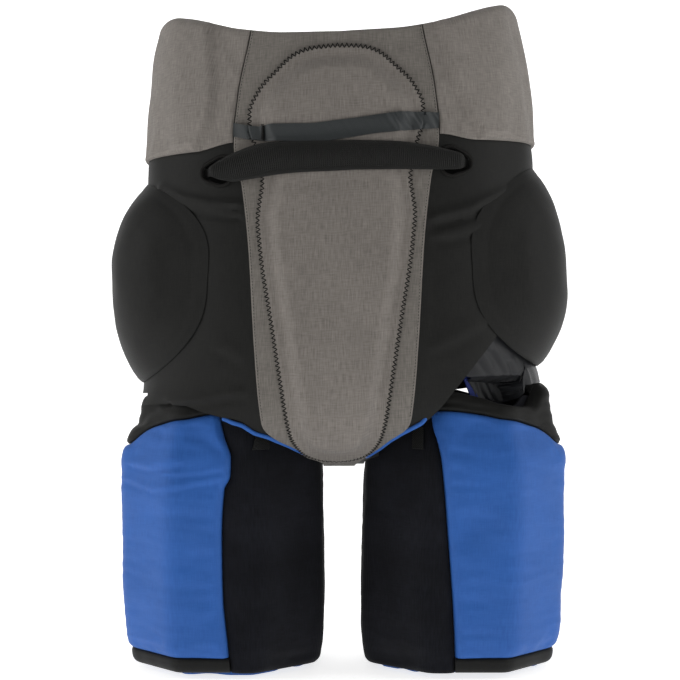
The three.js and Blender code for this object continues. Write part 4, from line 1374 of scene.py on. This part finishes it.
# Legs
legLook = {
    "sleeveWall": 2.0, "sleeveRise": 12.0, "hemHeight": 13.0, "hemWall": 9.0, "strapHeight": 18.0,
    "strapWall": 1.2,
    "strapDrop": 1.6, "strapSag": 2.6, "tabWidth": 10.0, "tabHeight": 17.0, "tabWall": 1.0, "tabRise": 14.0,
    "tabLift": 2.2,
    "girth": 80.0,  # radius that turns an angle round a leg into a length for its UV map
}
wrinkles = {
    "left": [
        {"line": [(-166, -249), (-150, -250), (-134, -246)], "height": 1.0, "width": 3.5},
        {"line": [(-134, -254), (-115, -253), (-97, -249)], "height": 0.9, "width": 3.5},
        {"line": [(-147, -268), (-124, -262), (-100, -259)], "height": 0.8, "width": 4.0},
        {"line": [(-170, -262), (-158, -266)], "height": 0.5, "width": 4.0},
    ],
    "right": [
        {"line": [(90, -232), (110, -238), (134, -240)], "height": 0.5, "width": 5.0},
    ],
}
# side, down, up: radius and least share at the joins, the top and the foot. crumple, crease: size, seed and
# height. stretch: how much denser the crumples are upwards. press: how much lower the middle lies
legPads = {
    "outer": {"finish": "blueStretch", "soft": 0.7, "foam": 13.0, "rows": 150, "columns": 200, "top": blueTop,
              "foot": legLook["hemHeight"] + gap, "side": (7, 0.4), "down": (6, 0.72), "up": (5, 0.8),
              "crumple": (42, 51, 1.3), "stretch": 1.6, "crease": (14, 53, 0.45), "press": 2.0,
              "folds": wrinkles},
    "inner": {"finish": "blackKnit", "soft": 0.6, "foam": 11.0, "rows": 130, "columns": 150, "top": sleeveTop,
              "foot": 0.0, "side": (9, 0.35), "down": (8, 0.4), "up": (5, 0.6),
              "crumple": (34, 61, 0.9), "stretch": 1.0, "crease": (12, 63, 0.3), "press": 0.0,
              "folds": {"left": [], "right": []}},
}


def joinAngle(leg, z):
    # Where the join of the two pads lies, measured from the outer side round the front
    offset = alongLeg(leg, z, "join") * form["legHalfWidth"] + smoothTable(leg["wander"], z)
    angle = np.full(np.shape(z), -math.pi / 2)
    for _ in range(8):
        radius = legRadiusAt(angle, z)
        angle = -np.arccos(np.clip(-offset / radius, -1, 1))
    return angle


def legPatch(leg, rows, columns, outerHalf, topAtX, low, out):
    # Angles and heights of one half of a leg, between its joins and from an edge down to a level
    point = legPoint(leg)
    u = edgeSpaced(columns, 0.4)[None, :]
    v = edgeSpaced(rows, 0.4)[:, None]
    z = np.full((rows, columns), -250.0)
    margin = gap / 2 / form["legHalfWidth"]
    for _ in range(4):
        join = joinAngle(leg, z)
        if outerHalf:
            angle = (join + margin) + u * (-2 * (join + margin))
        else:
            angle = (join - margin) - u * (2 * (math.pi + join - margin))
        top = topAtX(point(angle, z)[..., 0] + leg["side"] * np.cos(angle) * out)
        z = top - v * (top - low)
    return angle, z


def foamAt(z, thickness):
    rise = ease((z - form["hemLevel"]) / (2 * legLook["hemHeight"]))
    return legLook["hemWall"] + (thickness - legLook["hemWall"]) * rise


def fromJoins(point, angle, z):
    at = point(angle, z)
    step = np.linalg.norm(np.diff(at, axis=1), axis=2)
    along = np.concatenate([np.zeros((len(at), 1)), np.cumsum(step, 1)], 1)
    return np.minimum(along, along[:, -1:] - along)


def makeLeg(name, leg):
    point = legPoint(leg)
    flip = leg["side"]
    hem = form["hemLevel"]
    foam = legPads["outer"]["foam"]

    def lifted(angle, z, out):
        return raised(point, angle, z, out, flip)

    def clad(part, finish, angle, z, low, high, soft=None, wrap=False):
        # A closed layer of the leg, from one height above its middle surface to another
        girth = legLook["girth"]
        piece = layered(part + "-" + name, lifted(angle, z, high), lifted(angle, z, low), (angle * girth, z),
                        wrap, 2 * math.pi * girth)
        return dressed(piece, finish, part.replace("-", "_") + "_" + name, soft=soft)

    # sleeve
    turn = np.linspace(-math.pi, math.pi, 120, endpoint=False)[None, :]
    v = np.linspace(0, 1, 50)[:, None]
    top = edgeHeight(leg, point(turn, np.full(turn.shape, headLevel))[..., 0], sleeveTop)
    top = top + legLook["sleeveRise"] * ease(((np.cos(turn) + 1) / 2 - 0.78) / 0.12)
    z = top - v * (top - hem)
    sleeve = clad("leg-sleeve", "blackKnit", turn + 0 * v, z, -legLook["sleeveWall"], 0, wrap=True)
    cutFlat(sleeve, "stretched", "brief-shell")

    # blue pad outside, black pad inside
    for part, look in legPads.items():
        low = hem + look["foot"]
        angle, z = legPatch(leg, look["rows"], look["columns"], part == "outer",
                            lambda x: edgeHeight(leg, x, look["top"]), low, look["foam"])
        side = fromJoins(point, angle, z)
        down = z[:1] - z
        up = z - low
        base = point(angle, z)
        thick = foamAt(z, look["foam"]) * tapered(side, *look["side"]) * tapered(down, *look["down"])
        thick = thick * tapered(up, *look["up"])
        fold = foldHeight(look["folds"][name], base[..., 0], z) * ease(-base[..., 1] / 30)
        size, seed, height = look["crumple"]
        crumple = softNoise(base * np.array([1, 1, look["stretch"]]), size, seed + flip) * height
        size, seed, height = look["crease"]
        crumple = crumple + softNoise(base * np.array([0.5, 0.5, 2.4]), size, seed) * height
        thick = thick + (fold + crumple) * ease(side / 12) * ease(down / 10) * ease(up / 10)
        outer = lifted(angle, z, gap + thick)
        thick = thick + clothRelief("cloth-" + part + "-" + name, outer, lifted(angle, z, gap))
        thick = thick - look["press"] * ease(side / 30) * ease(down / 20)
        clad("thigh-pad-" + part, look["finish"], angle, z, gap, gap + thick, look["soft"])

    # yoke above the blue pad
    u = edgeSpaced(150, 0.3)[None, :]
    v = edgeSpaced(30, 0.4)[:, None]
    z = np.full((30, 150), headLevel - 10.0)
    for _ in range(4):
        join = joinAngle(leg, z)
        angle = join + 0.004 + u * (-2 * join - 0.008)
        x = point(angle, z)[..., 0] + flip * np.cos(angle) * foam
        top = edgeHeight(leg, x, yokeTop[name])
        foot = edgeHeight(leg, x, blueTop, -gap)
        z = top - v * (top - np.minimum(foot, top - 1))
    down = z[:1] - z
    up = z - z[-1:]
    thick = (foam - leg["slim"] * ease((up - 4) / 16)) * tapered(down, 8, 0.4) * tapered(up, 3, 0.8)
    crumple = softNoise(point(angle, z) * np.array([0.7, 0.7, 2.0]), 14, 71) * 1.2
    thick = thick + crumple * ease(down / 8) * ease(up / 6)
    clad("thigh-yoke", "blackStretch", angle, z, gap, gap + thick, 0.5)

    # hem band
    high = hem + legLook["hemHeight"]
    angle, z = legPatch(leg, 20, 150, True, lambda x: high + 0 * x, hem, legLook["hemWall"])
    up = z - z[-1:]
    thick = legLook["hemWall"] * tapered(z[:1] - z, 3, 0.75) * tapered(up, 8, 0.3)
    thick = thick + softNoise(point(angle, z), 16, 81) * 0.5 * ease(up / 4)
    clad("hem-band", "blackStretch", angle, z, gap, gap + thick, 0.3)

    # elastic edge inside the hem
    low = hem - legLook["strapDrop"]
    z = np.linspace(low + legLook["strapHeight"], low, 12)[:, None] + 0 * turn
    z = z - legLook["strapSag"] * ease(0.2 + softNoise(point(turn, 0 * turn + low), 26, 91) * 2)
    out = -legLook["sleeveWall"] - gap
    clad("hem-strap", "blueStretch", turn + 0 * z, z, out - legLook["strapWall"], out, wrap=True)

    # small tab on the inner side
    middle = legMiddle(leg, -form["crotchDepth"]) - flip * leg["tab"] * form["legHalfWidth"]
    foot = -form["crotchDepth"] + legLook["tabRise"]
    z = np.linspace(foot + legLook["tabHeight"], foot, 14)[:, None] + np.zeros((1, 12))
    x = middle + np.linspace(-0.5, 0.5, 12)[None, :] * legLook["tabWidth"] * flip + 0 * z
    angle = np.full(z.shape, -math.pi * 0.7)
    for _ in range(10):
        radius = legRadiusAt(angle, z) + gap + legPads["inner"]["foam"]
        angle = -np.arccos(np.clip((x - legMiddle(leg, z)) * flip / radius, -1, 1))
    out = legPads["inner"]["foam"] + legLook["tabLift"]
    outer = lifted(angle, z, out + legLook["tabWall"])
    tab = layered("leg-tab-" + name, outer, lifted(angle, z, out), (x, z))
    dressed(tab, "webbing", "leg_tab_" + name)


for name, leg in legs.items():
    makeLeg(name, leg)
print("legs made")


def makePiping(name, leg):
    # In front it follows its table. Behind it runs where the leg's surface meets the brief's
    turns = np.linspace(math.pi, math.radians(88), 90)[1:]
    heights = np.linspace(-form["crotchDepth"] + 1, headLevel - 2, 160)
    angle = turns[:, None] + 0 * heights[None, :]
    z = heights[None, :] + 0 * turns[:, None]
    at = raised(legPoint(leg), angle, z, legInset + gap + piping["width"] * 0.4, leg["side"])
    n = form["roundness"]
    depth = np.maximum(form["hipHalfDepth"] * smoothTable(briefSections, levelOf(z), 2), 1e-3)
    reach = (np.abs(at[..., 0]) / hipWidthAt(z)) ** n + (np.abs(at[..., 1]) / depth) ** n
    edge = np.array(piping["edge"][name])
    even = np.linspace(0, 1, 90)
    along = np.concatenate([[0], np.cumsum(np.linalg.norm(np.diff(edge, axis=0), axis=1))])
    x, level = (np.interp(even, along / along[-1], column) for column in edge.T)
    path = list(raised(briefPoint, frontAngle(x, level), level, 1.0 - 5 * ease(1 - even / 0.12)))
    for row in range(len(turns)):
        inside = np.nonzero(reach[row] < 1)[0]
        if len(inside) == 0:
            continue
        i = inside[0]
        here = at[row, i]
        if i > 0:
            t = (reach[row, i - 1] - 1) / (reach[row, i - 1] - reach[row, i])
            here = at[row, i - 1] * (1 - t) + at[row, i] * t
        if here[1] > 20 and abs(here[0]) < piping["backReach"]:
            path.append(here)
    path = np.array(path)
    for _ in range(6):
        path[1:-1] = (path[:-2] + 2 * path[1:-1] + path[2:]) / 4
    outward = path * np.array([0.25, 1.0, 0]) + np.array([0, 0, -40.0])
    turns = np.linspace(0, 2 * math.pi, 12, endpoint=False)
    profile = [(piping["width"] / 2 * math.cos(t), piping["wall"] / 2 * math.sin(t)) for t in turns]
    return sweep("leg-piping-" + name, path, outward, profile)


for name, leg in legs.items():
    dressed(makePiping(name, leg), "blueStretch", "leg_piping_" + name)
for cutter in briefCutters:
    removeObject(cutter)
print("piping made")

# Stitches, just inside the pad's edge and beside the panel's seams
inset = padLine * np.array([0.985, 0.993])
zigzag = frontLine(inset[:, 0] + band["shift"], inset[:, 1], overPanel + pad["edge"] - 0.2, True)
stitched("pad-zigzag", [zigzag], "thread",
         {"pitch": 1.9, "length": 5.2, "width": 1.15, "height": 0.9, "zigzag": 62, "jitter": 6, "seed": 4})
seams = []
for _, side in sides:
    z = np.linspace(float(topAt(seamX(np.array(100.0), side))) - 3, -205, 300)
    seams.append(frontLine(seamX(z, side) - side * 2.2, z, gap + band["panelWall"]))
stitched("panel-stitches", seams, "thread",
         {"pitch": 2.6, "length": 1.7, "width": 0.5, "height": 0.5, "jitter": 5, "seed": 7})
print("stitches made")

# Camera at the photograph's angle
view = {"lens": 90.2, "sensor": 36, "at": (0, -1.5, -0.142)}
camera = bpy.data.cameras.new("camera")
camera.lens = view["lens"]
camera.sensor_width = view["sensor"]
cameraObject = bpy.data.objects.new("camera", camera)
scene.collection.objects.link(cameraObject)
cameraObject.location = view["at"]
cameraObject.rotation_euler = (math.pi / 2, 0, 0)
scene.camera = cameraObject

# Pale sweep below and behind, and plain soft light
studio = {"floor": -0.4245, "back": 3.4, "bend": 0.9, "half": 3.6, "front": -3.4, "height": 3.6, "steps": 16,
          "tone": 0.9, "roughness": 0.9, "glow": 0.75, "world": 0.15, "aim": (0, 0, -0.15)}


def makeSweep():
    turns = np.linspace(0, math.pi / 2, studio["steps"])
    line = [(studio["front"], studio["floor"])]
    for t in turns:
        line.append((studio["back"] - studio["bend"] + studio["bend"] * math.sin(t),
                     studio["floor"] + studio["bend"] * (1 - math.cos(t))))
    line.append((studio["back"], studio["height"]))
    vertices = [(side * studio["half"], y, z) for y, z in line for side in (-1, 1)]
    faces = [(2 * i, 2 * i + 1, 2 * i + 3, 2 * i + 2) for i in range(len(line) - 1)]
    mesh = bpy.data.meshes.new("sweep")
    mesh.from_pydata(vertices, [], faces)
    mesh.shade_smooth()
    sweepObject = bpy.data.objects.new("sweep", mesh)
    scene.collection.objects.link(sweepObject)
    paper = bpy.data.materials.new("paper")
    paper.use_nodes = True
    shader = paper.node_tree.nodes["Principled BSDF"]
    shader.inputs["Base Color"].default_value = (*[studio["tone"]] * 3, 1)
    shader.inputs["Roughness"].default_value = studio["roughness"]
    shader.inputs["Emission Color"].default_value = (1, 1, 1, 1)
    shader.inputs["Emission Strength"].default_value = studio["glow"]
    mesh.materials.append(paper)


makeSweep()
lamps = [
    {"name": "left", "at": (-2.2, -0.5, 0.6), "size": 1.5, "power": 20},
    {"name": "right", "at": (2.2, -0.5, 0.6), "size": 1.5, "power": 20},
    {"name": "front", "at": (-0.5, -2.4, 1.0), "size": 1.6, "power": 4.2},
    {"name": "back", "at": (0, 0.6, 2.0), "size": 2.0, "power": 10},
]
for lamp in lamps:
    light = bpy.data.lights.new(lamp["name"], "AREA")
    light.size = lamp["size"]
    light.energy = lamp["power"]
    lightObject = bpy.data.objects.new(lamp["name"], light)
    lightObject.location = lamp["at"]
    aim = Vector(studio["aim"]) - Vector(lamp["at"])
    lightObject.rotation_euler = aim.to_track_quat("-Z", "Y").to_euler()
    scene.collection.objects.link(lightObject)
world = bpy.data.worlds.new("studio")
world.use_nodes = True
world.node_tree.nodes["Background"].inputs["Color"].default_value = (1, 1, 1, 1)
world.node_tree.nodes["Background"].inputs["Strength"].default_value = studio["world"]
scene.world = world
scene.view_settings.view_transform = "Standard"
print("studio made")
